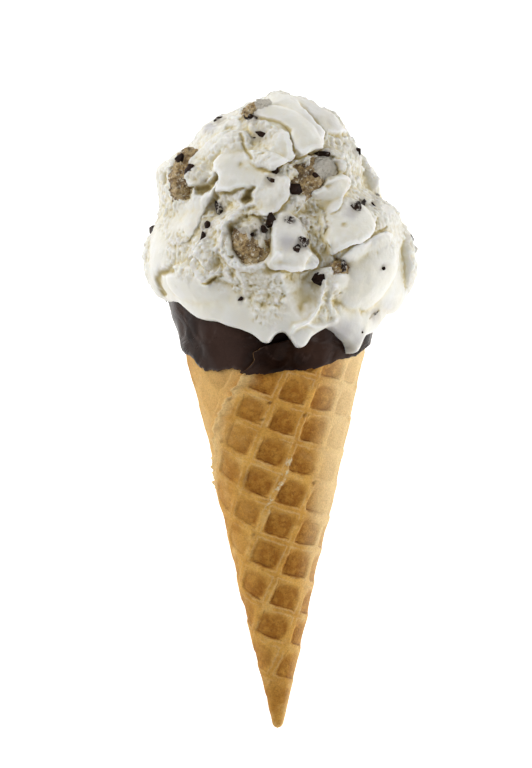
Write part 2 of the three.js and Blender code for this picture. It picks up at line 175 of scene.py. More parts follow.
# %% Meshes and their points
def new_piece(name, bm):
    """A bmesh as a new object, still in the cone's own frame."""
    mesh = bpy.data.meshes.new(name)
    bm.to_mesh(mesh)
    bm.free()
    piece = bpy.data.objects.new(name, mesh)
    bpy.context.scene.collection.objects.link(piece)
    return piece


def vectors_of(items, name):
    """One vector of each item, as the rows of an array."""
    values = np.empty(3 * len(items), np.float32)
    items.foreach_get(name, values)
    return values.reshape(-1, 3).astype(float)


def points_of(mesh):
    return vectors_of(mesh.vertices, "co")


def normals_of(mesh):
    return vectors_of(mesh.vertex_normals, "vector")


def move_points(mesh, points):
    mesh.vertices.foreach_set("co", np.asarray(points, np.float32).ravel())
    mesh.update()


def mark(mesh, name, values):
    """Keeps a number or a vector with each point, for the material to read."""
    values = np.asarray(values, np.float32)
    kind, slot = ("FLOAT", "value") if values.ndim == 1 else ("FLOAT_VECTOR", "vector")
    mesh.attributes.new(name, kind, "POINT").data.foreach_set(slot, values.ravel())


def applied(piece, kind, **settings):
    """Puts a modifier on a piece and makes its result the piece's mesh."""
    modifier = piece.modifiers.new(kind.title(), kind)
    for name, value in settings.items():
        setattr(modifier, name, value)
    result = bpy.data.meshes.new_from_object(piece.evaluated_get(bpy.context.evaluated_depsgraph_get()))
    piece.modifiers.clear()
    piece.data = result
    return piece


def triangles_of(mesh):
    mesh.calc_loop_triangles()
    return len(mesh.loop_triangles)


def thinned(piece, limit):
    """Takes away the triangles that show least, until the piece has no more than the limit."""
    ratio = limit / triangles_of(piece.data)
    return applied(piece, "DECIMATE", ratio=ratio) if ratio < 1 else piece


def settle(piece, material, node):
    """Lays a piece down, in metres, and hands it to the frame in the place of a node."""
    piece.data.transform(LIE_DOWN)
    piece.data.shade_smooth()
    piece.data.materials.clear()
    piece.data.materials.append(material)
    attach(piece, "root")
    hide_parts(node)
    print(f"{piece.name}: {triangles_of(piece.data)} triangles")


# %% Repeatable noise
def noise_at(points, size, octaves=3, seed=0):
    """Smooth noise from about -1 to 1 at each point. size is the width of a lump, in millimetres."""
    places = (np.asarray(points) / size + 17.3 * seed).tolist()
    return np.array([noise.fractal(place, 1, 2, octaves) for place in places])


def cell_middles(points, size, seed=0):
    """How far each point is from the nearest of many scattered middles, in spacings between them."""
    places = (np.asarray(points) / size + 11.7 * seed).tolist()
    return np.array([noise.voronoi(place)[0][0] for place in places])


# %% [markdown]
# ## Nets round the axis
# The waffle, the chocolate, the scoop's mass and its melted edge are all wrapped round one axis. A lathe
# can't make them, because their outlines change on the way round, so a flat grid is rolled up. One side
# of it is the turn, and the other runs from the tip's side to the top. Merging the doubled points closes
# the seam and the poles.

# %% A grid rolled up
def rolled_net(name, columns, rows, place):
    """A closed net. place(turn, row) gives the points for shares from 0 to 1 of the way round and up."""
    bm = bmesh.new()
    bmesh.ops.create_grid(bm, x_segments=columns, y_segments=rows, size=1)
    piece = new_piece(name, bm)
    flat = points_of(piece.data)
    turn, row = ((flat[:, i] - flat[:, i].min()) / np.ptp(flat[:, i]) for i in (0, 1))
    points, marks = place(turn, row)
    move_points(piece.data, points)
    for label, values in marks.items():
        mark(piece.data, label, values)
    bm = bmesh.new()
    bm.from_mesh(piece.data)
    bmesh.ops.remove_doubles(bm, verts=bm.verts, dist=1e-4)
    bmesh.ops.dissolve_degenerate(bm, edges=bm.edges, dist=1e-5)
    bmesh.ops.recalc_face_normals(bm, faces=bm.faces)
    bm.to_mesh(piece.data)
    bm.free()
    return piece


# %% [markdown]
# ## The rolled sheet
# A waffle cone is a round, flat waffle that is rolled while it is hot. Its squares were pressed before
# that, so they run straight across the flat sheet and slant across the cone. The pattern is therefore
# worked out on the flat sheet and rolled up with it. The sheet's outer edge leaves a step, a seam that
# runs down the left of the shown side.

# %% The seam and the squares
BLANK_DIAMETER = 159  # of the round waffle, its edge at the tip
BLANK_TOP_BEARING = radians(154)  # where its far edge stands highest
SEAM_SWAYS = [  # (height, how far the ragged edge stands to the right of that circle)
    (60, 0), (78, 5), (92, 8.5), (100, 6.5), (110, 6), (118, 4), (122, 3.8), (125, -0.6), (126.6, -1),
    (128, 0.4), (130, 5), (146, 3),
]
CELL_WIDTH, CELL_HEIGHT = 10.67, 11.2  # from rib to rib across and up the sheet
CELL_TURNS = radians(21.3), radians(20.3)  # lean of the grid's columns and of its rows
CELL_CROSSING = (5.95, 97.95)  # a crossing of two ribs on the flat sheet
CELL_HALF_MOUTH = 4.75
CELL_HALF_FLOOR = 3.95
CELL_DEPTH = 1
LEFT_HEIGHTS = (48, 66)  # over which the left side grows fainter
LEFT_BEARINGS = (-45, -8)  # degrees over which it becomes clear towards the middle
RIGHT_HEIGHTS = (66, 74)  # over which the right side becomes nearly plain
PLAIN_HEIGHTS = (69, 75, 96, 104)  # between which more of it is plain
BACK_BEARINGS = (100, 150)  # degrees over which it becomes clear again behind


def seam_bearing(distance):
    """The bearing of the sheet's outer edge, at a distance from the tip along the sheet."""
    edge = BLANK_TOP_BEARING - np.arccos(np.clip(distance / BLANK_DIAMETER, 0, 1)) / SHEET_SHARE
    line = np.stack([distance, 0 * distance, 0 * distance], -1)
    ragged = 0.9 * noise_at(line, 9, 2, 1) + 1.5 * noise_at(line, 3.2, 4, 2)
    ragged *= smooth_step(distance, 30, 60)
    sway = np.interp(distance * cos(CONE_ANGLE), *zip(*SEAM_SWAYS))
    return edge + (ragged + sway) / cone_radius(distance)


def clearness(flat, height, bearing):
    """How clearly each place was pressed: less on the left, and hardly at all on the upper right."""
    front = degrees_from(bearing)
    left = 0.4 + 0.35 * (1 - smooth_step(height, *LEFT_HEIGHTS))
    clear = mix(left, 1, smooth_step(front, *LEFT_BEARINGS)) + 0.4 * smooth_step(-front, 90, 150)
    plain = between(height, *PLAIN_HEIGHTS)
    right = smooth_step(front, 40 - 17 * plain, 58 - 16 * plain)
    clear -= 0.68 * right * smooth_step(height, *RIGHT_HEIGHTS) * (1 - smooth_step(front, *BACK_BEARINGS))
    return np.clip(clear + 0.35 * noise_at(flat, 22, 2, 12), 0.24, 1)


def pressed(distance, bearing):
    """The pressed pattern: its depth, how toasted a place is, with painted shade towards each square's
    lower edge, how creased it is, how clear its fine lines are, and its place in the grid."""
    angle = bearing * SHEET_SHARE
    flat = np.stack([distance * np.sin(angle), distance * np.cos(angle), 0 * distance], -1)
    x, y = (flat[:, i] + 0.42 * noise_at(flat, 9, 2, 3 + i) - CELL_CROSSING[i] for i in (0, 1))
    along = (cos(CELL_TURNS[0]) * x - sin(CELL_TURNS[0]) * y) / CELL_WIDTH
    up = (sin(CELL_TURNS[1]) * x + cos(CELL_TURNS[1]) * y) / CELL_HEIGHT
    place = np.stack([along, up, 0 * up], -1)
    uneven = np.sin(12.9 * np.floor(along) + 78.2 * np.floor(up))  # differs from square to square
    along, up = ((share - np.floor(share) - 0.5) * CELL_WIDTH for share in (along, up))
    wander = 0.24 * noise_at(flat, 2.4, 3, 5)
    reach = (np.abs(along) ** 6 + np.abs(up) ** 6) ** (1 / 6) + wander
    gentle = 1.1 * smooth_step(up, 0.5, 3.2) + 0.9 * smooth_step(along, 0.8, 3.4)
    mouth = CELL_HALF_MOUTH + 0.15 * uneven
    floor = 1 - smooth_step(reach, CELL_HALF_FLOOR + 0.15 * uneven - gentle, mouth)
    tilt = 0.8 - 0.32 * up / CELL_HALF_FLOOR - 0.28 * along / CELL_HALF_FLOOR
    under = bell(up + 3.7 + wander, 0.4) * (1 - smooth_step(np.abs(along + 0.3), 2.6, 4))
    beside = bell(along + 3.75 - wander, 0.38) * (1 - smooth_step(np.abs(up + 1), 1.6, 3.4))
    crease = np.maximum(under, 0.45 * beside) * (0.7 + 0.3 * uneven)
    clear = clearness(flat, distance * cos(CONE_ANGLE), bearing)
    depth = clear * (CELL_DEPTH * floor * tilt + 0.3 * crease) + 0.07 * noise_at(flat, 1.1, 3, 6)
    # darker towards each square's lower edge: painted shade
    toasted = clear * floor * np.clip(0.85 - 0.06 * up, 0.45, 1)
    return depth, toasted, clear * crease, np.clip(1.15 * clear - 0.15, 0, 1), place


# %% [markdown]
# Where two ribs cross, steam that couldn't leave the batter has burst into small open bubbles. They are
# sunk into the same depth: a few on the shown side, and more at crossings that a rule picks.

# %% Burst bubbles
SHOWN_BUBBLES = [((-1.3, 111.1), 0.75), ((9.3, 106.6), 0.8), ((-3.7, 105.3), 0.6)]  # middle and radius
BUBBLE_CHANCE = 0.22  # that another crossing has one
BUBBLE_SEED = 8


def bubble_places(draw):
    yield from SHOWN_BUBBLES
    for column in range(-9, 10):
        for row in range(-9, 6):
            corner = Vector((column * CELL_WIDTH, row * CELL_HEIGHT)) @ Matrix.Rotation(CELL_TURNS[0], 2)
            chance, radius = draw.random(), draw.uniform(0.45, 0.8)
            off = Vector((draw.uniform(-1.4, 1.4), draw.uniform(-1.4, 1.4)))
            if chance < BUBBLE_CHANCE:
                yield corner + off + Vector(CELL_CROSSING), radius


def bubbles(distance, bearing):
    """Depth of the small burst bubbles on the crossings of the ribs."""
    angle = bearing * SHEET_SHARE
    x, y = distance * np.sin(angle), distance * np.cos(angle)
    depth = np.zeros(len(x))
    for middle, radius in bubble_places(Random(BUBBLE_SEED)):
        away = np.hypot(x - middle[0], y - middle[1])
        depth += 0.75 * np.exp(-((away / radius) ** 4))
        depth -= 0.22 * bell(away - 1.5 * radius, 0.4)
    return depth


# %% [markdown]
# ## The waffle cone
# One closed net: first a few columns that climb the sheet's edge, then once round the cone along the
# sheet, which comes closer to the axis by its own thickness on the way. The tip is rounded off.

# %% Roll the cone
CONE_COLUMNS = 318
CONE_ROWS = 300
WALL_COLUMNS = 7  # of those, on the edge of the sheet
TIP_ROUND = 1.7  # height over which the tip is rounded
SHEET_STARTS = (5, 32)  # heights between which the sheet begins to stand clear
WIDE_BORDER = (70, 80, 96, 106)  # heights between which more of the sheet's border is pale


def sheet_lift(wrap, height):
    """How far the sheet stands outside the mean cone. wrap is the angle from its outer edge."""
    return WAFER * (0.5 - wrap / tau) * smooth_step(height, *SHEET_STARTS)


def wall_shares(turn, columns):
    """Splits the way round into the climb up the sheet's edge and the wrap along the sheet."""
    wall = WALL_COLUMNS / columns
    climb = np.clip(turn / wall, 0, 1)
    return climb, tau * np.clip((turn - wall) / (1 - wall), 0, 1)


def cone_point(height, wrap):
    """The points of the sheet's outside, and what pressed() says of them."""
    distance = height / cos(CONE_ANGLE)
    bearing = seam_bearing(distance) + wrap
    depth, floor, crease, clear, place = pressed(distance, bearing)
    holes = bubbles(distance, bearing)
    from_edge = wrap * cone_radius(height)
    inside = smooth_step(from_edge, 0.5, 5.5) * smooth_step(height, 5, 12)  # the border isn't pressed
    near_tip = mix(0.3, 1, smooth_step(height, 12, 75))
    around = on_cone(height, bearing, 0)
    swell = 0.35 * noise_at(around, 24, 2, 7) + 0.12 * noise_at(around, 5, 2, 8)
    flaky = bell(from_edge, 3) * smooth_step(height, 20, 60)
    pits = flaky * smooth_step(noise_at(around, 1.7, 2, 16), 0.08, 0.34)
    swell += 1.1 * flaky * noise_at(around, 2.2, 3, 13) - 0.8 * pits
    lift = sheet_lift(wrap, height) - inside * near_tip * (depth + np.maximum(holes, -0.3)) + swell
    points = on_cone(height, bearing, lift)
    tip = np.sqrt(1 - (1 - np.clip(height / TIP_ROUND, 0, 1)) ** 2)
    points[:, [0, 2]] *= tip[:, None]
    # darker along the foot of each square, in the bubbles and in the pits by the seam
    crease = np.maximum(np.maximum(crease, 1.2 * np.maximum(holes, 0)) * inside, 0.9 * pits)
    return points, floor * inside, crease, clear * inside, place


def cone_net(turn, row):
    height = CONE_HEIGHT * row
    climb, wrap = wall_shares(turn, CONE_COLUMNS)
    points, floor, crease, clear, place = cone_point(height, wrap)
    on_wall = climb < 1
    foot, *_ = cone_point(height[on_wall], np.full(on_wall.sum(), tau))
    share = smooth_step(climb[on_wall], 0, 1)[:, None]
    bulge = 0.5 * np.sin(pi * climb[on_wall]) * smooth_step(height[on_wall], *SHEET_STARTS)
    bearing = seam_bearing(height / cos(CONE_ANGLE)) + wrap
    points[on_wall] = mix(foot, points[on_wall], share) + bulge[:, None] * sideways(bearing)[on_wall]
    border = 3.6 + 2.2 * between(height, *WIDE_BORDER) + 1.8 * noise_at(points, 3, 2, 14)
    # painted light: the cone's right side is made paler, as if lit from the right
    right = smooth_step(np.sin(bearing), 0.45, 0.92) * smooth_step(np.cos(bearing), -0.3, 0)
    right *= 0.3 + 0.7 * smooth_step(height, 35, 75)
    # darker towards the tip, and a painted shadow just below the chocolate's lower edge
    darker_ends = 0.3 * (1 - smooth_step(height, 12, 50)) + 0.4 * smooth_step(height, 110, 117)
    return points, {
        "floor": np.maximum(floor, darker_ends * (1 - right)),
        "crease": crease,
        "edge": bell(wrap * cone_radius(height), border),
        "inner": smooth_step(wrap, tau - 1.6, tau - 0.6),
        "painted_right_light": right,
        "grid": place,
        "pattern": clear * (1 - on_wall),
    }


def closed_top(piece):
    """Fills the open ring at the top of a net."""
    bm = bmesh.new()
    bm.from_mesh(piece.data)
    rim = [edge for edge in bm.edges if edge.is_boundary]
    bmesh.ops.holes_fill(bm, edges=rim, sides=0)
    bmesh.ops.recalc_face_normals(bm, faces=bm.faces)
    bm.to_mesh(piece.data)
    bm.free()
    return piece


waffle_cone = closed_top(rolled_net("rolled_waffle", CONE_COLUMNS, CONE_ROWS, cone_net))

# %% [markdown]
# ## The dark chocolate
# The rim was dipped, so the chocolate follows the sheet, fills most of each pressed square and rounds off
# the seam. Its lower edge is a thick, uneven bead. The net runs from the axis inside the cone, out under
# that bead, up the outside and back to the axis, so that it is closed.

# %% Dip the rim
DIP_THICKNESS = 1
DIP_LOWEST = 118
DIP_SEAM = 122  # how far up the sheet the seam crosses the chocolate's lower edge
DIP_EDGE = [  # (bearing in degrees, height) of that edge
    (-180, 127), (-120, 127), (-90, 125.5), (-70, 123.6), (-66, 121), (-58, 120.2), (-52, 119.3), (-41, 119),
    (-28, 119.6), (-24, 119.2), (-20, 118), (-2, 118), (7, 119), (18, 119.3), (28, 120.2), (34, 121.7),
    (38, 122.7), (47, 123.3), (60, 124.3), (67, 127), (85, 128), (120, 127), (180, 127),
]
DIP_COLUMNS = 300
DIP_ROWS = 110
DIP_BEAD = [(-3, -3), (0.1, -0.7), (0, 0.35), (0.25, 0.8), (0.9, 1.12), (2.4, 1.05), (4, 1)]  # (up, lift)
BARE_HEIGHTS = (117, 119, 126, 128)  # between which the sheet's edge shows through
# broad spots of painted sheen, where the chocolate is made lighter as if it reflects the light
SHEEN_SPOTS = [(-32, 20, 1), (30, 11, 0.6)]  # bearing and half width in degrees, and strength


def dip_edge(bearing):
    """Height of the chocolate's lower edge."""
    ring = np.stack([np.sin(bearing), np.cos(bearing), 0 * bearing], -1)
    edge = np.interp(degrees_from(bearing), *zip(*DIP_EDGE))
    waves = 0.7 * np.sin(7 * bearing) * smooth_step(-np.cos(bearing), 0, 0.5)
    return edge + waves + 0.5 * noise_at(ring, 0.09, 3, 9) + 0.45 * noise_at(ring, 0.03, 2, 15)


def dip_net(turn, row):
    climb, wrap = wall_shares(turn, DIP_COLUMNS)
    lowest = dip_edge(seam_bearing(np.full(len(wrap), DIP_SEAM)) + wrap)
    step = row * DIP_ROWS
    bead = np.clip(step, 1, len(DIP_BEAD)) - 1
    ups, lifts = (np.array(column) for column in zip(*DIP_BEAD))
    up, lift = (np.interp(bead, range(len(DIP_BEAD)), column) for column in (ups, lifts * DIP_THICKNESS))
    above = np.clip((step - len(DIP_BEAD)) / (DIP_ROWS - len(DIP_BEAD) - 1), 0, 1)
    height = np.where(above > 0, mix(lowest + ups[-1], CONE_HEIGHT, above), lowest + up)
    distance = height / cos(CONE_ANGLE)
    bearing = seam_bearing(distance) + wrap
    _, floor, *_ = pressed(distance, bearing)
    around = on_cone(height, bearing, 0)
    swell = 0.35 * noise_at(around, 24, 2, 7)
    folds = noise_at(around * [1, 0.6, 1], 13, 2, 10)
    runs = 1.25 * np.abs(folds) - 0.4 + 0.03 * noise_at(around, 2.4, 2, 11)
    skin = sheet_lift(wrap, height) + swell + lift + (runs - 0.45 * floor) * smooth_step(lift, 0, 1)
    points = on_cone(height, bearing, skin)
    on_wall = climb < 1
    foot = on_cone(height, bearing, skin - WAFER)
    clear = 1.3 * np.sin(pi * np.clip(climb, 0, 1)) ** 0.5 * smooth_step(lift, 0, 0.8)
    wall = mix(foot, points, smooth_step(climb, 0, 1)[:, None]) + sideways(bearing) * clear[:, None]
    points[on_wall] = wall[on_wall]
    on_axis = (step < 0.5) | (step > DIP_ROWS - 0.5)
    ends = np.where(step < 1, DIP_LOWEST, CONE_HEIGHT)
    points[on_axis] = np.stack([0 * height, ends, 0 * height], -1)[on_axis]
    bare = bell(climb - 0.5, 0.25) * on_wall * between(height, *BARE_HEIGHTS)
    # painted sheen: lighter along the edges of the folds, as if they catch the light
    painted_sheen = 0.7 * bell(folds, 0.022) * (0.6 + noise_at(around, 4, 2, 17))
    for at, width, strength in SHEEN_SPOTS:
        painted_sheen += strength * bell(degrees_from(bearing) - at, width)
    return points, {"floor": floor, "bare": bare, "painted_sheen": painted_sheen}


chocolate_dip = rolled_net("dark_chocolate_rim", DIP_COLUMNS, DIP_ROWS, dip_net)

# %% [markdown]
# ## The scoop's body
# A scoop is a rough ball that sinks over the rim and begins to melt. Its mass is a net, as wide as the
# scoop's outline and as deep as a ball that sits in a skirt. Round lobes stand out of it, each a squeezed
# icosphere. The melted edge with its drips is another net. A voxel remesh then melts them all into one
# skin of even squares, fine enough to carve.

# %% Places on the scoop
BALL = (Vector((-1, 178, 0)), Vector((31, 34.5, 31.7)))  # middle and half sizes
SKIRT = (Vector((0.5, 157, 0)), Vector((42, 25, 38.8)))
SCOOP_SIDES = [  # (up, left, right): how far the scoop reaches to each side
    (212.6, 0, 1), (211.8, -3.5, 3.5), (209.3, -6.8, 11.5), (206.7, -14, 15.5), (204, -20, 20.5),
    (200, -26.6, 23), (196, -28.4, 25.8), (193.3, -29.8, 27.8), (191, -34, 28.8), (188, -39.6, 28.8),
    (185, -41.2, 28.8), (180, -40.3, 30.2), (174.5, -40, 38), (172, -40.4, 41.4), (170, -40.5, 42.3),
    (164, -43, 43), (159, -44.5, 42.6), (153, -44.5, 42.6), (148, -43.6, 43.4), (144, -41, 43.8),
    (140, -33, 41.8), (137, -30, 38),
]
SKIN_ALLOWANCE = 0.7  # what the carving adds outside these
MASS_COLUMNS, MASS_ROWS = 240, 120


def lobe_frame(place, turn=0, tip=0, lift=0):
    """Where a lobe lies: turn spins it in the surface, tip lifts its far end, both in degrees."""
    point, outward = place
    level = Vector((0, 1, 0)).cross(outward).normalized()
    basis = Matrix((level, outward.cross(level), outward)).transposed().to_4x4()
    turned = Matrix.Rotation(radians(turn), 4, "Z") @ Matrix.Rotation(radians(-tip), 4, "Y")
    return Matrix.Translation(point + lift * outward) @ basis @ turned


def front_of_scoop(across, up):
    """The point of the plain body at a place on the shown side, and its outward direction."""
    best = None
    for middle, half in (BALL, SKIRT):
        x, y = (across - middle.x) / half.x, (up - middle.y) / half.y
        z = max(0, 1 - x * x - y * y) ** 0.5
        point = Vector((across, up, z * half.z))
        if best is None or point.z > best[0].z:
            best = point, Vector((x / half.x, y / half.y, z / half.z)).normalized()
    return best


def side_of_scoop(bearing, up):
    """The same at a bearing, all the way round."""
    best, best_reach = None, -1
    for middle, half in (BALL, SKIRT):
        y = min(max((up - middle.y) / half.y, -0.98), 0.98)
        ring = (1 - y * y) ** 0.5
        if half.x * ring > best_reach:
            best_reach = half.x * ring
            x, z = ring * sin(bearing), ring * cos(bearing)
            point = Vector((middle.x + half.x * x, up, half.z * z))
            best = point, Vector((x / half.x, y / half.y, z / half.z)).normalized()
    return best


def evenly(i, step=0.618, start=0):
    """Shares from 0 to 1 that come out evenly spread, one for each i."""
    return (i * step + start) % 1


def scoop_net(turn, row):
    """The scoop's mass: as wide as its sides say, as deep as the ball and the skirt."""
    ups, lefts, rights = (np.array(column)[::-1] for column in zip(*SCOOP_SIDES))
    up = mix(ups[0], ups[-1] + 0.2, np.sin(row * pi / 2))
    left, right = np.interp(up, ups, lefts) + SKIN_ALLOWANCE, np.interp(up, ups, rights) - SKIN_ALLOWANCE
    depth = np.zeros(len(up))
    for middle, half in (BALL, SKIRT):
        depth = np.maximum(depth, half.z * np.sqrt(np.clip(1 - ((up - middle.y) / half.y) ** 2, 0, 1)))
    sizes = (left + right) / 2, (right - left) / 2, depth
    middle, width, depth = (np.where((row == 0) | (row == 1), 0, size) for size in sizes)
    bearing = turn * tau
    return np.stack([middle + width * np.sin(bearing), up, depth * np.cos(bearing)], -1), {}


# %% The lobes that stand out of it
SHOWN_LOBES = {  # (across, up), half sizes, turn, lift
    "top_flap": ((2, 199), (14, 9, 5), -45, -2.4),
    "left_shoulder": ((-19, 191), (12, 8, 5), 30, -1.4),
    "middle_petal": ((-7, 180), (17, 12, 5.5), -14, -0.8),
    "dough_ring": ((-8, 161), (19, 14, 6), 0, -2.3),
    "right_round": ((24, 166), (13, 10, 6), 70, -0.6),
    "right_top": ((17, 184), (10, 9, 4.5), 40, -0.6),
    "right_melt": ((29, 150), (16, 12, 8), 60, -2),
    "lower_panel": ((14, 144), (13, 10, 4.5), 70, 0.2),
    "lower_crumb": ((-3, 145), (13, 11, 4.5), 0, -0.3),
    "left_melt": ((-24, 146), (15, 9, 5), -24, 0),
}
REST_LOBES = 10
LOBE_SEED = 2024
REST_SPREAD = radians(75)  # bearings to each side of the back


def lobe_stream(seed):
    """The repeatable numbers that place the lobes of the sides and the back."""
    state = seed
    while True:
        state = state * 16807 % 2147483647
        yield state / 2147483647


def rest_lobes():
    numbers = lobe_stream(LOBE_SEED)
    for i in range(REST_LOBES):
        up = mix(146, 192, (i + 0.5) / REST_LOBES)
        bearing = pi + REST_SPREAD * sin(i * 2.4)
        half = [mix(14, 19, next(numbers)), mix(10, 13, next(numbers)), mix(4.5, 5.5, next(numbers))]
        turn, lift, tip = 180 * next(numbers), mix(-2, -0.6, next(numbers)), mix(-8, 8, next(numbers))
        yield half, lobe_frame(side_of_scoop(bearing, up), turn, tip, lift)


def add_ball(bm, half, place, subdivisions=5):
    ball = bmesh.ops.create_icosphere(bm, subdivisions=subdivisions, radius=1)["verts"]
    bmesh.ops.transform(bm, matrix=place @ Matrix.Diagonal((*half, 1)), verts=ball)


# %% The melted edge
MELT_THICKNESS = 2.7
MELT_COLUMNS = 360
MELT_SHAPE = [(-0.2, -1.5), (-0.25, -0.4), (0, 0.5), (0.4, 0.75), (0.9, 0.88), (3.2, 1), (7, 0.95)]
MELT_START = 138  # height at which the net leaves the axis
MELT_END = [(152, 39), (156, 0)]  # (height, radius) on its way back to the axis, inside the scoop
MELT_EDGE = [  # (bearing in degrees, height) of the melted edge
    (-180, 141), (-120, 142.5), (-90, 144), (-72, 142.8), (-66, 142), (-62, 141.8), (-58, 140.6),
    (-54, 138.9), (-50, 137.4), (-47, 136.4), (-42, 135.8), (-34.5, 135.5), (-28.7, 134.1), (-21.4, 133),
    (-14.2, 131.3), (-10.6, 129.6), (-8.8, 128.5), (-5.2, 128.3), (-3.6, 129.2), (-1.5, 131.2), (1, 131.9),
    (3.8, 132.1), (6.4, 130.6), (9.6, 127.8), (11, 126.9), (14.6, 126.8), (16.4, 127.7), (18.6, 130.2),
    (22.6, 131.8), (28.5, 133.8), (34, 132.2), (39, 130.4), (43.6, 128.9), (46.6, 127.2), (47.8, 125.4),
    (48.8, 124.7), (49.6, 124.7), (50.6, 125.6), (51.6, 127.2), (53, 129), (55, 130.5), (60, 131.2),
    (66, 131.8), (70, 134), (75, 136), (82, 138.5), (95, 140.5), (140, 139), (180, 141),
]
DRIPS = [  # bearing in degrees, length and half width in degrees; the first three are drawn by the edge
    (-6.9, 0, 5), (12.8, 0, 5.5), (49, 0, 6.5), (118, 5.5, 8), (160, 7, 9), (205, 4, 12), (243, 6.5, 8),
]


def drip_share(bearing, at, width):
    return bell(degrees_from(bearing, at), width)


def melt_edge(bearing):
    """Height of the melted edge, with the drips that run down from it."""
    edge = np.interp(degrees_from(bearing), *zip(*MELT_EDGE))
    for at, length, width in DRIPS:
        edge = edge - length * drip_share(bearing, at, width)
    return edge


def melt_net(turn, row):
    bearing = turn * tau
    edge = melt_edge(bearing)
    thick = MELT_THICKNESS * (1 + 0.4 * sum(drip_share(bearing, at, width) for at, _, width in DRIPS))
    ups, outs = [0 * edge + MELT_START], [0 * edge]
    for up, share in MELT_SHAPE:
        ups.append(edge + up)
        outs.append(cone_radius(edge + up) + DIP_THICKNESS + WAFER / 2 + share * thick)
    for height, radius in MELT_END:
        ups.append(0 * edge + height)
        outs.append(0 * edge + radius)
    step = row * (len(ups) - 1)
    low = np.clip(np.floor(step + 1e-6).astype(int), 0, len(ups) - 2)
    every = np.arange(len(turn))
    ups, outs = np.array(ups), np.array(outs)
    up, out = (mix(rows[low, every], rows[low + 1, every], step - low) for rows in (ups, outs))
    return np.stack([out * np.sin(bearing), up, out * np.cos(bearing)], -1), {}


# %% Melt them into one skin
SCOOP_VOXEL = 0.37
SCOOP_SMOOTHING = 16


def scoop_body():
    bm = bmesh.new()
    for net in (
        rolled_net("melted_edge", MELT_COLUMNS, len(MELT_SHAPE) + 2, melt_net),
        rolled_net("scoop_mass", MASS_COLUMNS, MASS_ROWS, scoop_net),
    ):
        bm.from_mesh(net.data)
        bpy.data.objects.remove(net)
    for at, half, turn, lift in SHOWN_LOBES.values():
        add_ball(bm, half, lobe_frame(front_of_scoop(*at), turn, 0, lift))
    for half, place in rest_lobes():
        add_ball(bm, half, place)
    body = new_piece("vanilla_scoop", bm)
    applied(body, "REMESH", mode="VOXEL", voxel_size=SCOOP_VOXEL)
    return applied(body, "SMOOTH", factor=0.5, iterations=SCOOP_SMOOTHING)


ice_cream = scoop_body()
print("the scoop's skin has", len(ice_cream.data.vertices), "points")

# %% [markdown]
# ## Carving the folds
# The scoop tears the frozen ice cream and folds it over in petals. Each petal has one free side that
# stands clear with a crisp edge, and one side where it runs into the rest. So a petal is an outline, how
# high its free side stands, which way that side faces and how torn its face is. The skin inside the
# outline is pushed out, more towards the free side, and a narrow groove is cut along the foot of that
# edge, where the shadow sits. That groove is darkened with painted shade as well.

# %% Outlines on the scoop
def rounded_line(corners, closed, steps=5):
    """A smooth line through the corners."""
    corners = np.array(corners, float)
    line = []
    for i in range(len(corners) if closed else len(corners) - 1):
        a, b, c, d = np.take(corners, range(i - 1, i + 3), 0, mode="wrap" if closed else "clip")
        for share in np.arange(steps) / steps:
            curve = 2 * b + (c - a) * share + (2 * a - 5 * b + 4 * c - d) * share**2
            line.append(0.5 * (curve + (3 * b - 3 * c + d - a) * share**3))
    return np.array(line if closed else [*line, corners[-1]])


def inside_distance(corners, across, up, closed=True):
    """Distance from an outline, positive inside it. For an open line, minus the distance from it."""
    line = rounded_line(corners, closed)
    nearest = np.full(len(across), 1e9)
    inside = np.zeros(len(across), bool)
    ends = np.roll(line, -1, axis=0) if closed else line[1:]
    for (x0, y0), (x1, y1) in zip(line, ends):
        x, y, dx, dy = across - x0, up - y0, x1 - x0, y1 - y0
        share = np.clip((x * dx + y * dy) / (dx * dx + dy * dy), 0, 1)
        nearest = np.minimum(nearest, (x - share * dx) ** 2 + (y - share * dy) ** 2)
        if closed and dy:
            inside ^= ((y < 0) != (y < dy)) & (x < dx * y / dy)
    return np.sqrt(nearest) * np.where(inside, 1, -1)


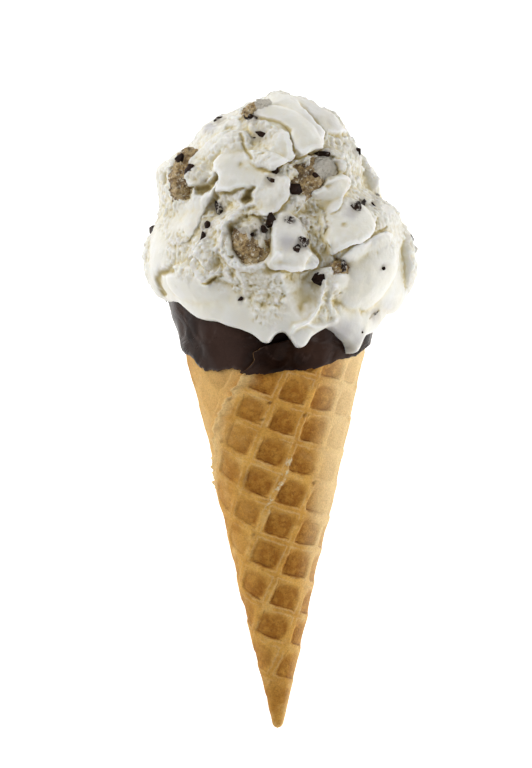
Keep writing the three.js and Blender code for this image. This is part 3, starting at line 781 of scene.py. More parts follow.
# %% The petals of the shown side
# fmt: off
PETALS = {  # rise, the way that the free side faces in degrees, how torn, and the outline
    "back_petal": (1.6, 20, 0.1, [
        (4.5, 211.3), (10.2, 211.3), (13.5, 208), (19.2, 204.7), (22.8, 201.7), (23.5, 198.7), (19.5, 198),
        (14.8, 199), (8, 203),
    ]),
    "top_petal": (3.4, -25, 0.06, [
        (-3, 211.3), (0.5, 212.8), (3.2, 212), (6.8, 208.3), (10.5, 203.3), (14.2, 198.7), (14.5, 195.7),
        (13.8, 193), (10.5, 192), (6.8, 190.3), (4.2, 192.7), (2.5, 197.7), (-3.2, 201.3), (-8.5, 205),
        (-6.2, 208.3),
    ]),
    "chip_block": (4.9, -32, 0.6, [
        (-10.8, 202.2), (-7.5, 202.7), (-4.2, 201.4), (0, 199.3), (2.8, 197.7), (3.9, 193.5), (4.8, 189.9),
        (0.3, 187.2), (-2.4, 185.6), (-4.2, 186), (-7.5, 186.8), (-10, 191), (-12.1, 194.7), (-12.1, 199),
    ]),
    "middle_petal": (2.6, 215, 0.12, [
        (-18.8, 191), (-20.8, 188.3), (-20.5, 186), (-18.8, 183), (-19.8, 179), (-16.5, 178.6),
        (-12.5, 179.8), (-7.2, 180.4), (-2.5, 182.7), (-5.2, 185.7), (-9.2, 189), (-10.8, 192.7),
        (-15.2, 193.3),
    ]),
    "left_flake": (2.4, 215, 0.75, [
        (-30.2, 184.3), (-30.7, 182.7), (-29.8, 180.7), (-26.8, 180.7), (-23.8, 183), (-21.8, 186),
        (-20.8, 190.7), (-21.5, 192.3), (-24.5, 190.7), (-27.8, 187.3),
    ]),
    "diagonal_fold": (1.1, -35, 0.15, [
        (-18.8, 183), (-21.2, 178.7), (-23.2, 174.3), (-25.8, 168.7), (-29.2, 163.3), (-33.8, 160.7),
        (-37.5, 163.3), (-35.8, 168.7), (-30.8, 174.3), (-25.8, 177),
    ]),
    "centre_petal": (2.4, -30, 0.2, [
        (-7.2, 180.7), (-1.8, 184), (2.5, 184), (3.8, 180), (2.8, 175.7), (-0.5, 172), (-5.2, 170.7),
        (-7.8, 173.3), (-7.2, 177.3),
    ]),
    "torn_lobe": (4.2, 200, 0.8, [
        (-17.8, 168.7), (-21.5, 166.3), (-24.8, 161), (-27, 156.3), (-26.8, 152), (-24.8, 149.3),
        (-22.2, 149), (-18.5, 152), (-15.8, 154), (-17.2, 157.7), (-18.5, 162.7),
    ]),
    "tongue": (3.6, -66, 0.1, [
        (2.8, 173), (6.2, 170.6), (8.4, 167.4), (9.4, 163.6), (10.4, 159.8), (13.2, 156.2), (11.5, 153.9),
        (6.5, 152.5), (1.2, 152.9), (-3.4, 153.9), (-2.2, 159), (-1, 165.5),
    ]),
    "right_flap": (2.6, 5, 0.1, [
        (14.8, 183.3), (21.5, 183.7), (23.2, 181.7), (22.8, 179.3), (21.2, 176.7), (20.2, 172.7),
        (16.8, 171.3), (13.5, 174), (11.2, 177.3), (11.8, 180),
    ]),
    "right_lobe": (2.6, -80, 0.15, [
        (20.8, 175.7), (24.2, 177.3), (29.5, 177.3), (33.2, 174), (32.8, 169.3), (31.5, 165.7),
        (28.8, 162.7), (23.5, 160.7), (19.8, 159), (17.2, 158), (16.2, 162.7), (18.2, 168.7), (19.5, 172.7),
    ]),
    "ledge": (1.3, 120, 0.15, [
        (36.8, 165), (39.5, 161), (34.2, 157.7), (27.5, 155.3), (22.5, 153.3), (20.2, 155.3), (24.8, 159.3),
        (30.8, 162.7),
    ]),
}
SHOWN_CHIPS = [  # (across, up), length, width, turn in degrees, how filmed over
    ((-8.6, 203), 4.2, 1.7, -15, 0.3),
    ((-5.7, 197.3), 5, 1.7, -5, 0),
    ((-7.6, 196.2), 0.9, 0.8, 0, 0),
    ((-19.6, 202.9), 2.8, 1.4, 30, 0.3),
    ((-32.2, 189.7), 2.8, 2.6, 0, 0.1),
    ((-29.2, 186), 3.8, 2, 55, 0.2),
    ((-0.9, 184.9), 2.8, 2.6, 20, 0.2),
    ((-2.2, 181.9), 3.2, 1.6, -25, 0.25),
    ((-19.5, 172.7), 5.2, 5, 0, 0.34),
    ((-23.2, 166.8), 3.4, 2.6, 80, 0.1),
    ((-24.4, 163.8), 3.4, 2.2, 50, 0.15),
    ((-2.4, 168.8), 4.6, 3, 80, 0.2),
    ((-4.8, 165.7), 3, 2.4, 30, 0.2),
    ((-8.5, 164.2), 1.4, 1.4, 0, 0),
    ((5.8, 178.9), 4, 3.6, 0, 0.1),
    ((14.8, 190.8), 5.6, 1.8, -8, 0.2),
    ((3.8, 168.8), 3.2, 2.6, 30, 0.36),
    ((8.7, 168.4), 2.2, 1.6, 90, 0.5),
    ((6.3, 159.5), 3, 2.1, 80, 0.25),
    ((8.5, 161.3), 3.6, 3.2, 0, 0.3),
    ((13.7, 149.7), 4.2, 3.9, -20, 0.15),
    ((21.8, 153.7), 3.4, 2.2, 70, 0.3),
    ((26, 173.2), 3.7, 3.2, 0, 0.28),
    ((28.2, 174.9), 2.8, 1.9, 70, 0.3),
    ((26.6, 192.2), 3.2, 2, -50, 0.1),
    ((33.3, 177.7), 2, 1.2, 60, 0.45),
    ((32, 174.2), 1.8, 1.2, -60, 0.1),
    ((-12.2, 142.9), 1.7, 1.2, 20, 0),
    ((35.2, 153), 1.3, 1.2, 0, 0.2),
    ((32.2, 137.8), 3.6, 0.8, 45, 0.4),
    ((28.2, 132), 1, 0.8, 90, 0.4),
    ((12.8, 183.7), 3.4, 1.5, -40, 0.15),
]
HOLLOWS = {  # depth and outline
    "crevice": (3.4, [(-19.9, 184.9), (-18.7, 183.1), (-25.3, 177.1), (-28, 179.5), (-23.2, 181.6)]),
    "star": (3.6, [(-10.5, 179.3), (-7.2, 180), (-8.5, 177.7), (-7.8, 175.3), (-10.5, 174), (-12.2, 175.3),
                   (-11.5, 177.3)]),
    "scoop_mark": (2.5, [(1.8, 152), (11.5, 152), (15.8, 148.3), (13.5, 142.7), (8.5, 136.5), (4.8, 139.3),
                         (3.5, 146)]),
    "crumb_pocket": (2.2, [(-17.8, 175.4), (-15, 176.4), (-13, 175), (-13.6, 173), (-16.4, 172.4)]),
    "lobe_cup": (1.8, [(-21.5, 158), (-18.5, 158.5), (-16.5, 155.5), (-18, 152), (-21, 151.5), (-23, 154.5)]),
    "chip_bed": (2, [(-22, 178), (-19, 178.5), (-18, 175), (-21, 168), (-26, 163), (-27, 165), (-23, 172)]),
}
OPENINGS = {  # depth and outline of the holes in which the dough shows
    "left": (3.2, [(-31.5, 192.6), (-29.6, 190), (-30.4, 184), (-29, 180), (-30.4, 175.5), (-33.5, 177),
                   (-36, 182), (-35.6, 188), (-33.8, 191.5)]),
    "middle": (3.4, [(-16.6, 167), (-12.5, 170.4), (-7, 170.6), (-2.6, 168.6), (-1.4, 164), (-1.9, 159),
                     (-4.2, 155.2), (-8.5, 153.6), (-12.2, 155.2), (-15, 159.5)]),
    "right": (3, [(10.8, 187.7), (11.2, 190), (14.8, 190.3), (18.5, 189.7), (20.8, 187.7), (21.2, 185.3),
                  (20.3, 184), (17, 182.4), (15.5, 180), (12.4, 178.4), (8, 176.3), (3.8, 178.5),
                  (4.3, 183.5), (7.4, 185.4)]),
    "low": (2, [(18, 154), (20, 154.8), (22.8, 154.4), (23.4, 152), (20.6, 150.6), (17.8, 151.7)]),
    "top": (1.2, [(-11.2, 206), (-8, 210.5), (-4.3, 211), (-5, 207.5), (-8.5, 204.6)]),
}
SMEARS = {  # ice cream left on the dough, as petals
    "dough_rag": (2.4, 200, 0.8, [(-16.5, 163), (-14.6, 162), (-14, 159.4), (-15.4, 157.4), (-17, 160)]),
    "glaze_edge": (2.6, 20, 0.2, [(18, 189.8), (21.6, 188), (22, 184.6), (20.4, 184.8), (19, 187.4)]),
}
RIDGES = {  # height, half width and the line
    "dough_smear": (3.7, 2.4, [(-13.6, 168.6), (-11, 167.6), (-8.4, 166.8)]),
    "dough_smear_tail": (4, 1.6, [(-7.6, 167.6), (-6, 165.2), (-5, 162.6), (-5.4, 160.6)]),
    "dough_smear_end": (4, 1.3, [(-10, 166.4), (-9.4, 163.2)]),
    "dough_rim": (2.6, 1.5, [(-10.9, 174), (-14.5, 171), (-18.2, 167), (-18.2, 161.3), (-17.2, 156.7),
                             (-14.2, 154.3), (-8.5, 153.3), (-3.2, 154.7), (-0.2, 157.3)]),
    "torn_crest": (1.4, 0.8, [(14.6, 171.7), (15, 167), (16, 162), (17.3, 157)]),
    "left_crest": (1.2, 1, [(-25, 166), (-27, 160), (-30, 155.5)]),
    "block_ridge": (0.9, 2.2, [(0.4, 198.6), (-0.4, 194.5), (-2.2, 191), (-2.2, 187)]),
    "pool_crest": (0.9, 1.1, [(19, 147), (17.5, 142), (19, 137)]),
    "mark_edge": (1.3, 0.7, [(15.4, 148.4), (14.8, 143.5), (13, 139), (10, 135.4), (6, 133.8)]),
    "lip_over_drip": (0.9, 0.8, [(4.6, 132), (6.5, 134), (9.3, 134.9), (13.9, 133.5), (19.5, 135.7)]),
}
GROOVES = {  # depth, half width and the line
    "block_top": (1, 0.5, [(-12.5, 202.6), (-9.5, 203.8), (-6, 203.2), (-2, 202.2), (1.2, 200.8),
                           (4, 198.6)]),
    "cheek_crease": (2.2, 0.9, [(-35.8, 152.3), (-39.5, 151), (-39.2, 147.7), (-37.8, 144.7)]),
    "right_slot": (2.6, 0.7, [(10.8, 191.5), (14.5, 191.2), (18.5, 190.4)]),
    "ledge_line": (0.8, 0.35, [(36.4, 166.8), (32, 163.6), (28.8, 161.2)]),
    "edge_slit": (1, 0.4, [(29.5, 184.4), (31.5, 181), (32.5, 178.8)]),
    "left_slit": (0.9, 0.5, [(-38.2, 184.8), (-38, 181.5)]),
    "low_slit": (0.5, 0.3, [(33.8, 139), (30.5, 136.5)]),
    "block_cleft": (0.8, 0.5, [(-12.3, 197.5), (-11.8, 194.5), (-10.4, 192), (-8.6, 189.2)]),
}
SHADES = [  # (across, up), radius and strength of painted shade: yellow spots where the ice cream lies in shade
    ((16.5, 203.4), 6.5, 0.12),
    ((-25.6, 187.4), 5, 0.2), ((-26.5, 182.4), 3, 0.4), ((-20.4, 154.6), 4.4, 0.3), ((-4.6, 149.6), 4, 0.22),
    ((-9, 147), 4, 0.15), ((14.4, 166.4), 4, 0.2), ((13.6, 172.6), 4, 0.15), ((-31, 161.5), 4.5, 0.16),
    ((-27.5, 153.4), 3.4, 0.16), ((3, 140), 4, 0.15), ((-12.6, 192.6), 3.4, 0.18), ((18.6, 144.6), 3.2, 0.2),
    ((23.6, 183.6), 3.4, 0.16), ((28.6, 184.6), 3, 0.12), ((-14.6, 197.4), 3.6, 0.12), ((3, 200.6), 3, 0.15),
    ((21.2, 193.4), 3, 0.14), ((33.5, 166), 4, 0.14), ((-2.6, 174.6), 3.4, 0.14), ((-34.4, 174), 3.4, 0.12),
]
STAINS_AND_SHADE = [  # (across, up), radius and strength of grey: of a chip that lies just below the skin, and in the first two painted shade
    # painted shade: grey on the back petal, which faces away from the light
    ((12.6, 205.4), 7, 0.16), ((19, 201.6), 6, 0.16),
    ((-22.8, 200.2), 3.4, 0.45), ((-9.5, 203.4), 2.6, 0.4), ((3.2, 161.6), 4.2, 0.5),
    ((6.6, 160.6), 3.6, 0.4),
    ((24.6, 171.6), 3.4, 0.4), ((8.6, 168.6), 2.6, 0.3), ((22, 132.5), 5, 0.45), ((18.6, 133), 3.4, 0.45),
    ((27, 129.5), 3, 0.35), ((-32.4, 188.8), 3, 0.2), ((37, 140), 5, 0.12), ((29, 192), 3, 0.3),
]
PITS = [  # (across, up), radius, depth
    ((-20.5, 176.7), 1.6, 2), ((-3, 153.3), 2.2, 1.3), ((16.9, 180.4), 1.4, 1.8), ((21.7, 167.4), 1, 1.2),
    ((28.2, 138.3), 0.7, 0.8), ((-15, 151), 1.2, 1.2), ((-9, 147.5), 1, 1), ((-5, 140.5), 1.3, 1.1),
    ((19.5, 141.5), 1.2, 1), ((-30, 156), 1.3, 1.2), ((-12, 187), 1, 0.8), ((-16, 200), 1.2, 1),
]
PATCHES = {  # how torn a stretch of the plain skin is, and its outline
    "right_pool": (0.06, [(22, 153), (33, 158), (42, 161), (48, 150), (44, 135), (30, 130), (21, 134),
                          (18, 144)]),
    "left_pool": (0.05, [(-40, 151), (-32, 151), (-24, 148), (-16, 143), (-10, 136), (-18, 130), (-44, 138)]),
    "left_cheek": (0.08, [(-50, 172), (-38, 164), (-36, 156), (-40, 151), (-42, 138), (-52, 150)]),
    "left_crumbs": (0.65, [(-37, 164), (-30, 165), (-27, 155), (-28, 149), (-33, 150), (-37, 156)]),
    "lower_crumbs": (0.7, [(-16, 153), (-4, 153), (1, 150), (3, 140), (-1, 133), (-7, 134), (-9, 141),
                           (-15, 148)]),
    "low_lumps": (0.55, [(14, 147), (20, 147), (21, 139), (16, 134), (12, 138)]),
    "right_cheek": (0.3, [(34, 176), (44, 172), (54, 150), (46, 148), (37, 160)]),
    "right_crumbs": (0.68, [(24, 196), (30, 190), (36, 176), (33, 172), (24, 178), (23, 186), (17, 192)]),
    "tongue_side": (0.95, [(6, 176), (14, 175), (17, 168), (16, 158), (13, 156), (9, 165)]),
    "block_side": (0.1, [(0.2, 199.4), (2.8, 197.7), (4, 193.5), (4.8, 189.7), (0.3, 187), (-2, 185.4),
                         (-2.4, 189), (-0.8, 193)]),
    "dough_smears": (0.95, [(-15, 171), (-5, 171), (-3, 160), (-10, 162)]),
    "left_brow": (0.35, [(-34, 196), (-24, 204), (-14, 207), (-12, 198), (-20, 193), (-30, 187)]),
}
# fmt: on

# %% [markdown]
# The sides and the back are carved with the same tools. There a rule spreads the petals, each with an
# uneven round outline that lies flat on the scoop where it stands.

# %% The petals of the sides and the back
REST_PETALS = 30


def rest_petals(seed):
    draw = Random(seed)
    for i in range(REST_PETALS):
        up = mix(147, 206, evenly(i))
        bearing = radians(mix(62, 298, evenly(i, 0.755, 0.3)))
        size, stretch = draw.uniform(6.5, 12), draw.uniform(0.7, 1)
        phases = [draw.uniform(0, tau) for _ in range(2)]
        outline = []
        for step in range(10):
            angle = step * tau / 10
            reach = size * (1 + 0.22 * sin(2 * angle + phases[0]) + 0.16 * sin(3 * angle + phases[1]))
            outline.append((reach * cos(angle), stretch * reach * sin(angle)))
        torn = draw.choice([0.08, 0.15, 0.5, 0.85])
        rise, way = draw.uniform(1.6, 3), draw.uniform(0, 360)
        yield lobe_frame(side_of_scoop(bearing, up)), (rise, way, torn, outline)


# %% [markdown]
# The carver goes over the skin once for each of these. It keeps four things with each point as it goes:
# how far to push it, how torn its face is, how much painted shade it gets in hollows, grooves and pits, and
# how grey it is, from a chip that stains it and from painted shade.

# %% Carve
EDGE_SOFTNESS = 0.3  # half the width of a petal's free edge
ATTACHED_SOFTNESS = 2.4  # and of the side where it runs into the rest
STEEP_DEPTH = 2.6  # a deeper hollow has steep sides
MARGIN = 5  # how far round an outline its groove can reach
CORE_ACROSS, CORE_HEIGHTS = -0.5, (150, 178)  # the scoop's middle line
REST_SEED = 5


def core_point(up):
    """The point of the scoop's middle line that the skin at these heights faces away from."""
    return np.stack([0 * up + CORE_ACROSS, np.clip(up, *CORE_HEIGHTS), 0 * up], -1)


class Carver:
    """Keeps how far each point of a skin is pushed, how torn it is, and how much painted shade and stain it
    gets.
    """

    def __init__(self, points):
        self.points = points
        away = points - core_point(points[:, 1])
        self.outward = away / np.linalg.norm(away, axis=1)[:, None]
        self.push = np.zeros_like(points)
        self.hollow = np.zeros(len(points))
        self.stain_and_shade = np.zeros(len(points))
        ragged = 0.7 * noise_at(points, 3.4, 3, 21), 0.7 * noise_at(points, 3.4, 3, 22)
        self.ragged = np.stack(ragged, -1)
        height = points[:, 1] + 3 * noise_at(points, 12, 2, 23)
        self.torn = mix(0.12, 0.7 + 0.25 * noise_at(points, 9, 2, 24), smooth_step(height, 142, 156))
        self.look(None)

    def look(self, frame):
        """Turns to face a place. None is the shown side, seen squarely."""
        if frame is None:
            self.flat = self.points[:, :2]
            self.across, self.along = np.array([1.0, 0, 0]), np.array([0, 1.0, 0])
            self.facing = smooth_step(self.outward[:, 2], 0.02, 0.3)
            self.way = 0.5 * self.outward + [0, 0, 1]
            self.way /= np.linalg.norm(self.way, axis=1)[:, None]
        else:
            local = (self.points - np.array(frame.translation)) @ np.array(frame.to_3x3())
            self.flat = local[:, :2]
            self.across, self.along = (np.array(frame.col[i])[:3] for i in (0, 1))
            self.facing = smooth_step(self.outward @ np.array(frame.col[2])[:3], 0.45, 0.75)
            self.facing = self.facing * smooth_step(local[:, 2], -16, -10)
            self.facing *= 1 - smooth_step(self.outward[:, 2], 0, 0.25)
            self.facing *= mix(0.3, 1, smooth_step(np.abs(self.outward[:, 2]), 0.05, 0.4))
            self.way = self.outward

    def near(self, corners):
        low, high = np.min(corners, 0) - MARGIN, np.max(corners, 0) + MARGIN
        is_near = np.all((self.flat > low) & (self.flat < high), axis=1) & (self.facing > 0)
        return np.nonzero(is_near)[0]

    def distance(self, corners, which, ragged, closed=True):
        flat = self.flat[which] + ragged * self.ragged[which]
        return inside_distance(corners, flat[:, 0], flat[:, 1], closed)

    def lift(self, which, height):
        self.push[which] += (height * self.facing[which])[:, None] * self.way[which]

    def petal(self, rise, way, torn, corners, covers=0.85):
        """Raises a petal. covers is how much of what was there before goes under it."""
        which = self.near(corners)
        distance = self.distance(corners, which, 0.6 + torn)
        facing = np.array([cos(radians(way)), sin(radians(way))])
        spread = np.array(corners) @ facing
        share = np.clip((self.flat[which] @ facing - spread.min()) / np.ptp(spread), -0.1, 1)
        free = smooth_step(share, 0.22, 0.85)
        soft = mix(ATTACHED_SOFTNESS, EDGE_SOFTNESS, smooth_step(free, 0.15, 0.6))
        on = smooth_step(distance, -soft, soft)
        belly = 0.72 + 0.28 * smooth_step(distance, 0, 4) + 0.12 * bell(distance - 0.9, 0.7)
        groove = 0.32 * bell(distance + 0.8, 0.6) * (distance < 0)
        self.push[which] *= 1 - (covers * on * self.facing[which])[:, None]
        self.lift(which, rise * free * (on * belly - groove))
        over = 0.35 * rise * free * on * bell(distance, 1.3) * self.facing[which]
        self.push[which] += over[:, None] * (self.across * facing[0] + self.along * facing[1])
        # painted shade at the foot of the free edge
        shade = smooth_step(rise * free, 1.2, 3) * bell(distance + 0.8, 0.7) * (distance < 0.2)
        self.hollow[which] = np.maximum(self.hollow[which] * (1 - on), 0.16 * shade * self.facing[which])
        self.torn[which] = mix(self.torn[which], torn, on * self.facing[which])

    def hollow_out(self, depth, corners, shade=0.7):
        """Sinks a hollow. The deep ones have steep sides and get painted shade."""
        which = self.near(corners)
        distance = self.distance(corners, which, 1)
        deep = smooth_step(distance, -0.5, 1 if depth > STEEP_DEPTH else 3.5)
        self.lift(which, -depth * deep)
        shade = shade * smooth_step(depth, 2, 3.4) * smooth_step(distance, -0.3, 0.8)
        self.hollow[which] = np.maximum(self.hollow[which], shade * self.facing[which])

    def line(self, height, half_width, corners, hollow=0):
        """Raises a ridge, or cuts a groove if its height is below 0. hollow is how much painted shade it
        gets.
        """
        which = self.near(corners)
        distance = self.distance(corners, which, 0.6, closed=False)
        near = bell(distance, half_width) * self.facing[which]
        self.lift(which, height * near)
        self.hollow[which] = np.maximum(self.hollow[which], hollow * near)

    def pit(self, at, radius, depth):
        which = self.near([at, at])
        away = np.linalg.norm(self.flat[which] + 1.5 * self.ragged[which] - at, axis=1)
        deep = bell(away, radius)
        self.lift(which, -depth * deep)
        # painted shade in the pit
        self.hollow[which] = np.maximum(self.hollow[which], 0.4 * deep * self.facing[which])

    def smudge(self, marks, at, radius, strength):
        """Paints a round, ragged spot into one of the two kinds of mark: painted shade, and stain with shade.
        """
        which = self.near([at, at])
        away = np.linalg.norm(self.flat[which] + 1.6 * self.ragged[which] - at, axis=1)
        shade = strength * (1 - smooth_step(away, 0.2 * radius, radius)) * self.facing[which]
        marks[which] = np.maximum(marks[which], shade)

    def patch(self, torn, corners):
        """Says how torn a stretch of the skin is."""
        which = self.near(corners)
        inside = smooth_step(self.distance(corners, which, 2), -1.5, 1.5) * self.facing[which]
        self.torn[which] = mix(self.torn[which], torn, inside)


def carved(piece):
    carver = Carver(points_of(piece.data))
    for place, petal in rest_petals(REST_SEED):
        carver.look(place)
        carver.petal(*petal)
    carver.look(None)
    for carve, forms, settings in (
        (carver.petal, PETALS, {}),
        (carver.patch, PATCHES, {}),
        (carver.hollow_out, HOLLOWS, {}),
        # the dough openings get painted shade too
        (carver.hollow_out, OPENINGS, {"shade": 0.35}),
        (carver.petal, SMEARS, {"covers": 0}),
        (carver.line, RIDGES, {}),
    ):
        for form in forms.values():
            carve(*form, **settings)
    for depth, half_width, corners in GROOVES.values():
        # painted shade along each groove
        carver.line(-depth, half_width, corners, hollow=0.9)
    for at, radius, depth in PITS:
        carver.pit(at, radius, depth)
    for shade in SHADES:
        carver.smudge(carver.hollow, *shade)
    for stain_and_shade in STAINS_AND_SHADE:
        carver.smudge(carver.stain_and_shade, *stain_and_shade)
    for at, length, width, *_ in SHOWN_CHIPS:
        carver.pit(at, 0.65 * length, 0.3 * width)
        carver.smudge(carver.stain_and_shade, at, 0.5 * length + 1.4, 0.35)
    return carver


# %% [markdown]
# Last comes the tearing itself. Torn ice cream is full of air: rounded crumbs with sharp creases between
# them, thin flakes and small open pores. Melted ice cream has none of these. Each kind is one noise, and
# how torn a point is decides how much of it there is.

# %% Where the skin is sunk
def sunk(mesh, rounds):
    """How far each point lies below the mean of the skin around it. More rounds look further."""
    ends = np.empty(2 * len(mesh.edges), np.int32)
    mesh.edges.foreach_get("vertices", ends)
    first, second = ends.reshape(-1, 2).T
    count = len(mesh.vertices)
    neighbours = np.bincount(first, minlength=count) + np.bincount(second, minlength=count)
    points = points_of(mesh)
    mean = points.copy()
    for _ in range(rounds):
        for axis in range(3):
            total = np.bincount(first, mean[second, axis], count)
            total += np.bincount(second, mean[first, axis], count)
            mean[:, axis] = total / np.maximum(neighbours, 1)
    return np.sum((mean - points) * normals_of(mesh), 1)


# %% Tear the skin
NEAR_ROUNDS, FAR_ROUNDS = 8, 90  # of the mean that shows small and large hollows


def torn_skin(piece):
    mesh = piece.data
    carver = carved(piece)
    torn = np.clip(carver.torn, 0, 1)
    points = carver.points + carver.push
    swell = 0.7 * noise_at(points, 8, 2, 31)
    crumbs = np.abs(noise_at(points, 3.8, 3, 32))
    warp = 0.9 * np.stack([noise_at(points, 1.8, 2, seed) for seed in (37, 38, 39)], -1)
    clumps = 0.45 - cell_middles(points + warp, 3.3, 3)
    flakes = np.abs(noise_at(points * [1, 0.55, 1], 1.7, 3, 33))
    pores = smooth_step(cell_middles(points, 2.1, 2), 0.36, 0.12) * (noise_at(points, 6, 2, 34) > 0.05)
    fine = noise_at(points, 1.1, 3, 35)
    relief = swell * (0.3 + 0.7 * torn)
    relief += torn * (1.2 * clumps + 1.4 * (crumbs - 0.3) - 0.95 * flakes - 0.75 * pores + 0.25 * fine)
    relief -= 0.35 * torn * (np.abs(noise_at(points, 0.95, 2, 40)) - 0.2)
    relief += (1 - torn) * (0.12 * noise_at(points, 2.6, 3, 36) + 0.35 * noise_at(points, 7, 2, 29))
    crease = torn * np.maximum(smooth_step(clumps, -0.12, -0.4), 0.9 * pores)
    crease = np.maximum(crease, 0.5 * torn * smooth_step(flakes, 0.35, 0.7))
    # painted shade in the creases between crumbs and in the pores
    hollow = np.maximum(carver.hollow, 0.25 * crease)
    melt = smooth_step(points[:, 1], 131, 141)
    points = points + (relief * (0.25 + 0.75 * melt))[:, None] * carver.outward
    move_points(mesh, points)
    mark(mesh, "torn", torn)
    mark(mesh, "hollow", hollow)
    mark(mesh, "stain_and_shade", carver.stain_and_shade)
    mark(mesh, "near_sunk", sunk(mesh, NEAR_ROUNDS))
    mark(mesh, "far_sunk", sunk(mesh, FAR_ROUNDS))
    return piece


torn_skin(ice_cream)

# %% Rest it on the table
def rested(piece):
    """Flattens what would lie below the table."""
    points = points_of(piece.data)
    turned = np.array(Matrix.Rotation(LIE_ANGLE, 3, "X"))
    lying = points @ turned.T + np.array(CONE_TIP)
    lying[:, 2] = np.maximum(lying[:, 2], 0)
    move_points(piece.data, (lying - np.array(CONE_TIP)) @ turned)
    return piece


SCOOP_TRIANGLES = 198_000
thinned(rested(ice_cream), SCOOP_TRIANGLES)

# %% [markdown]
# ## Finishes
# Each finish is a small node tree. Helpers keep them short: one adds a node and feeds its inputs, and one
# lays colour over colour from a list. Its masks are noise, or numbers that were kept with the points.

# %% Node helpers
def new_finish(name):
    material = bpy.data.materials.new(name)
    material.use_nodes = True
    return material, material.node_tree


def feed(tree, value, socket):
    """Puts a number, a colour or the output of another node into a socket."""
    if isinstance(value, bpy.types.NodeSocket):
        tree.links.new(value, socket)
    else:
        socket.default_value = (*value, 1) if socket.type == "RGBA" else value


def finished(material, inputs):
    """Feeds the inputs of the material's shader, by their names."""
    for name, value in inputs.items():
        feed(material.node_tree, value, material.node_tree.nodes["Principled BSDF"].inputs[name])
    return material


def add_node(tree, kind, inputs, **settings):
    node = tree.nodes.new(kind)
    for name, value in settings.items():
        setattr(node, name, value)
    for name, value in inputs.items():
        feed(tree, value, node.inputs[name])
    return node


def kept(tree, name, output="Fac"):
    """What mark() kept with the points."""
    return add_node(tree, "ShaderNodeAttribute", {}, attribute_name=name).outputs[output]


def noise_node(tree, scale, detail=3, roughness=0.5):
    """Noise on Object coordinates. scale is in lumps per metre."""
    place = tree.nodes.new("ShaderNodeTexCoord").outputs["Object"]
    inputs = {"Vector": place, "Scale": scale, "Detail": detail, "Roughness": roughness}
    return add_node(tree, "ShaderNodeTexNoise", inputs).outputs["Fac"]


def ranged(tree, value, low, high, to_low=0, to_high=1):
    return add_node(tree, "ShaderNodeMapRange", {0: value, 1: low, 2: high, 3: to_low, 4: to_high}).outputs[0]


def ranged_noise(tree, noise, *limits):
    return ranged(tree, noise_node(tree, *noise), *limits)


def maths(tree, operation, *values):
    """One sum on numbers or on other nodes' outputs."""
    return add_node(tree, "ShaderNodeMath", dict(enumerate(values)), operation=operation).outputs[0]


def bump(tree, height, strength, distance):
    inputs = {"Height": height, "Strength": strength, "Distance": distance}
    return add_node(tree, "ShaderNodeBump", inputs).outputs["Normal"]


def layered(tree, face, *layers):
    """Lays colours over a face. Each layer is its mask, the mask's values for none and all of it, how
    strong it is at most, and its colour. A mask is a kept name, the values of a noise or an output."""
    for mask, none, full, most, colour in layers:
        if isinstance(mask, str):
            mask = kept(tree, mask)
        elif isinstance(mask, tuple):
            mask = noise_node(tree, *mask)
        inputs = {0: ranged(tree, mask, none, full, 0, most), 6: face, 7: colour}
        face = add_node(tree, "ShaderNodeMix", inputs, data_type="RGBA").outputs[2]
    return face


# %% Melted ice cream on chips and dough
def film_group():
    """A node group that turns how filmed over a piece is into where the film lies on it."""
    group = bpy.data.node_groups.new("melted_film", "ShaderNodeTree")
    group.interface.new_socket("Film", in_out="INPUT", socket_type="NodeSocketFloat")
    group.interface.new_socket("Mask", in_out="OUTPUT", socket_type="NodeSocketFloat")
    start, end = group.nodes.new("NodeGroupInput"), group.nodes.new("NodeGroupOutput")
    spread = maths(group, "ADD", noise_node(group, 900, 4, 0.65), start.outputs["Film"])
    feed(group, ranged(group, spread, 0.8, 0.96, 0, 0.88), end.inputs["Mask"])
    return group


FILM = film_group()


def melted_film(tree):
    made = tree.nodes.new("ShaderNodeGroup")
    made.node_tree = FILM
    feed(tree, kept(tree, "film"), made.inputs["Film"])
    return made.outputs["Mask"]


# fmt: off
# %% Vanilla
def vanilla_finish():
    material, tree = new_finish("vanilla")
    torn = kept(tree, "torn")
    grains = noise_node(tree, 620, 5, 0.68)
    # painted shade: darker, yellower lines in the valleys of the fine relief on torn ice cream
    creases = maths(tree, "MULTIPLY", ranged(tree, grains, 0.46, 0.3), ranged(tree, torn, 0.3, 1, 0, 0.45))
    relief = maths(tree, "MULTIPLY", grains, ranged(tree, torn, 0, 0.9, 0.2, 1))
    return finished(material, {
        "Base Color": layered(
            tree, (0.80, 0.79, 0.74),
            ((90, 4), 0.35, 0.7, 1, (0.79, 0.76, 0.65)),
            (torn, 0.3, 1.2, 1, (0.83, 0.80, 0.69)),
            # painted shade: yellow in the broad hollows
            ("far_sunk", -0.1, 1, 0.8, (0.75, 0.65, 0.36)),
            # painted shade: yellow-olive in the small creases
            ("near_sunk", 0.03, 0.36, 0.85, (0.66, 0.53, 0.24)),
            # painted highlight: whiter on ridges and crumb tops
            ("near_sunk", -0.03, -0.25, 0.85, (0.92, 0.92, 0.90)),
            # painted shade in the fine creases
            (creases, 0, 1, 1, (0.62, 0.52, 0.30)),
            # painted shade: olive in the hollows, grooves and pits, and at the foot of the petals
            ("hollow", 0, 1, 1, (0.46, 0.37, 0.17)),
            # grey of chips below the skin, and painted shade on the back petal
            ("stain_and_shade", 0, 1, 1, (0.26, 0.24, 0.30)),
        ),
        "Roughness": ranged(tree, torn, 0, 0.8, 0.32, 0.62),
        "Normal": bump(tree, relief, 0.9, 0.0009),
        "Subsurface Weight": 0.2,
        "Subsurface Radius": (0.0022, 0.0018, 0.0012),
        "Subsurface Scale": 0.4,
        "IOR": 1.35,
    })


vanilla = vanilla_finish()


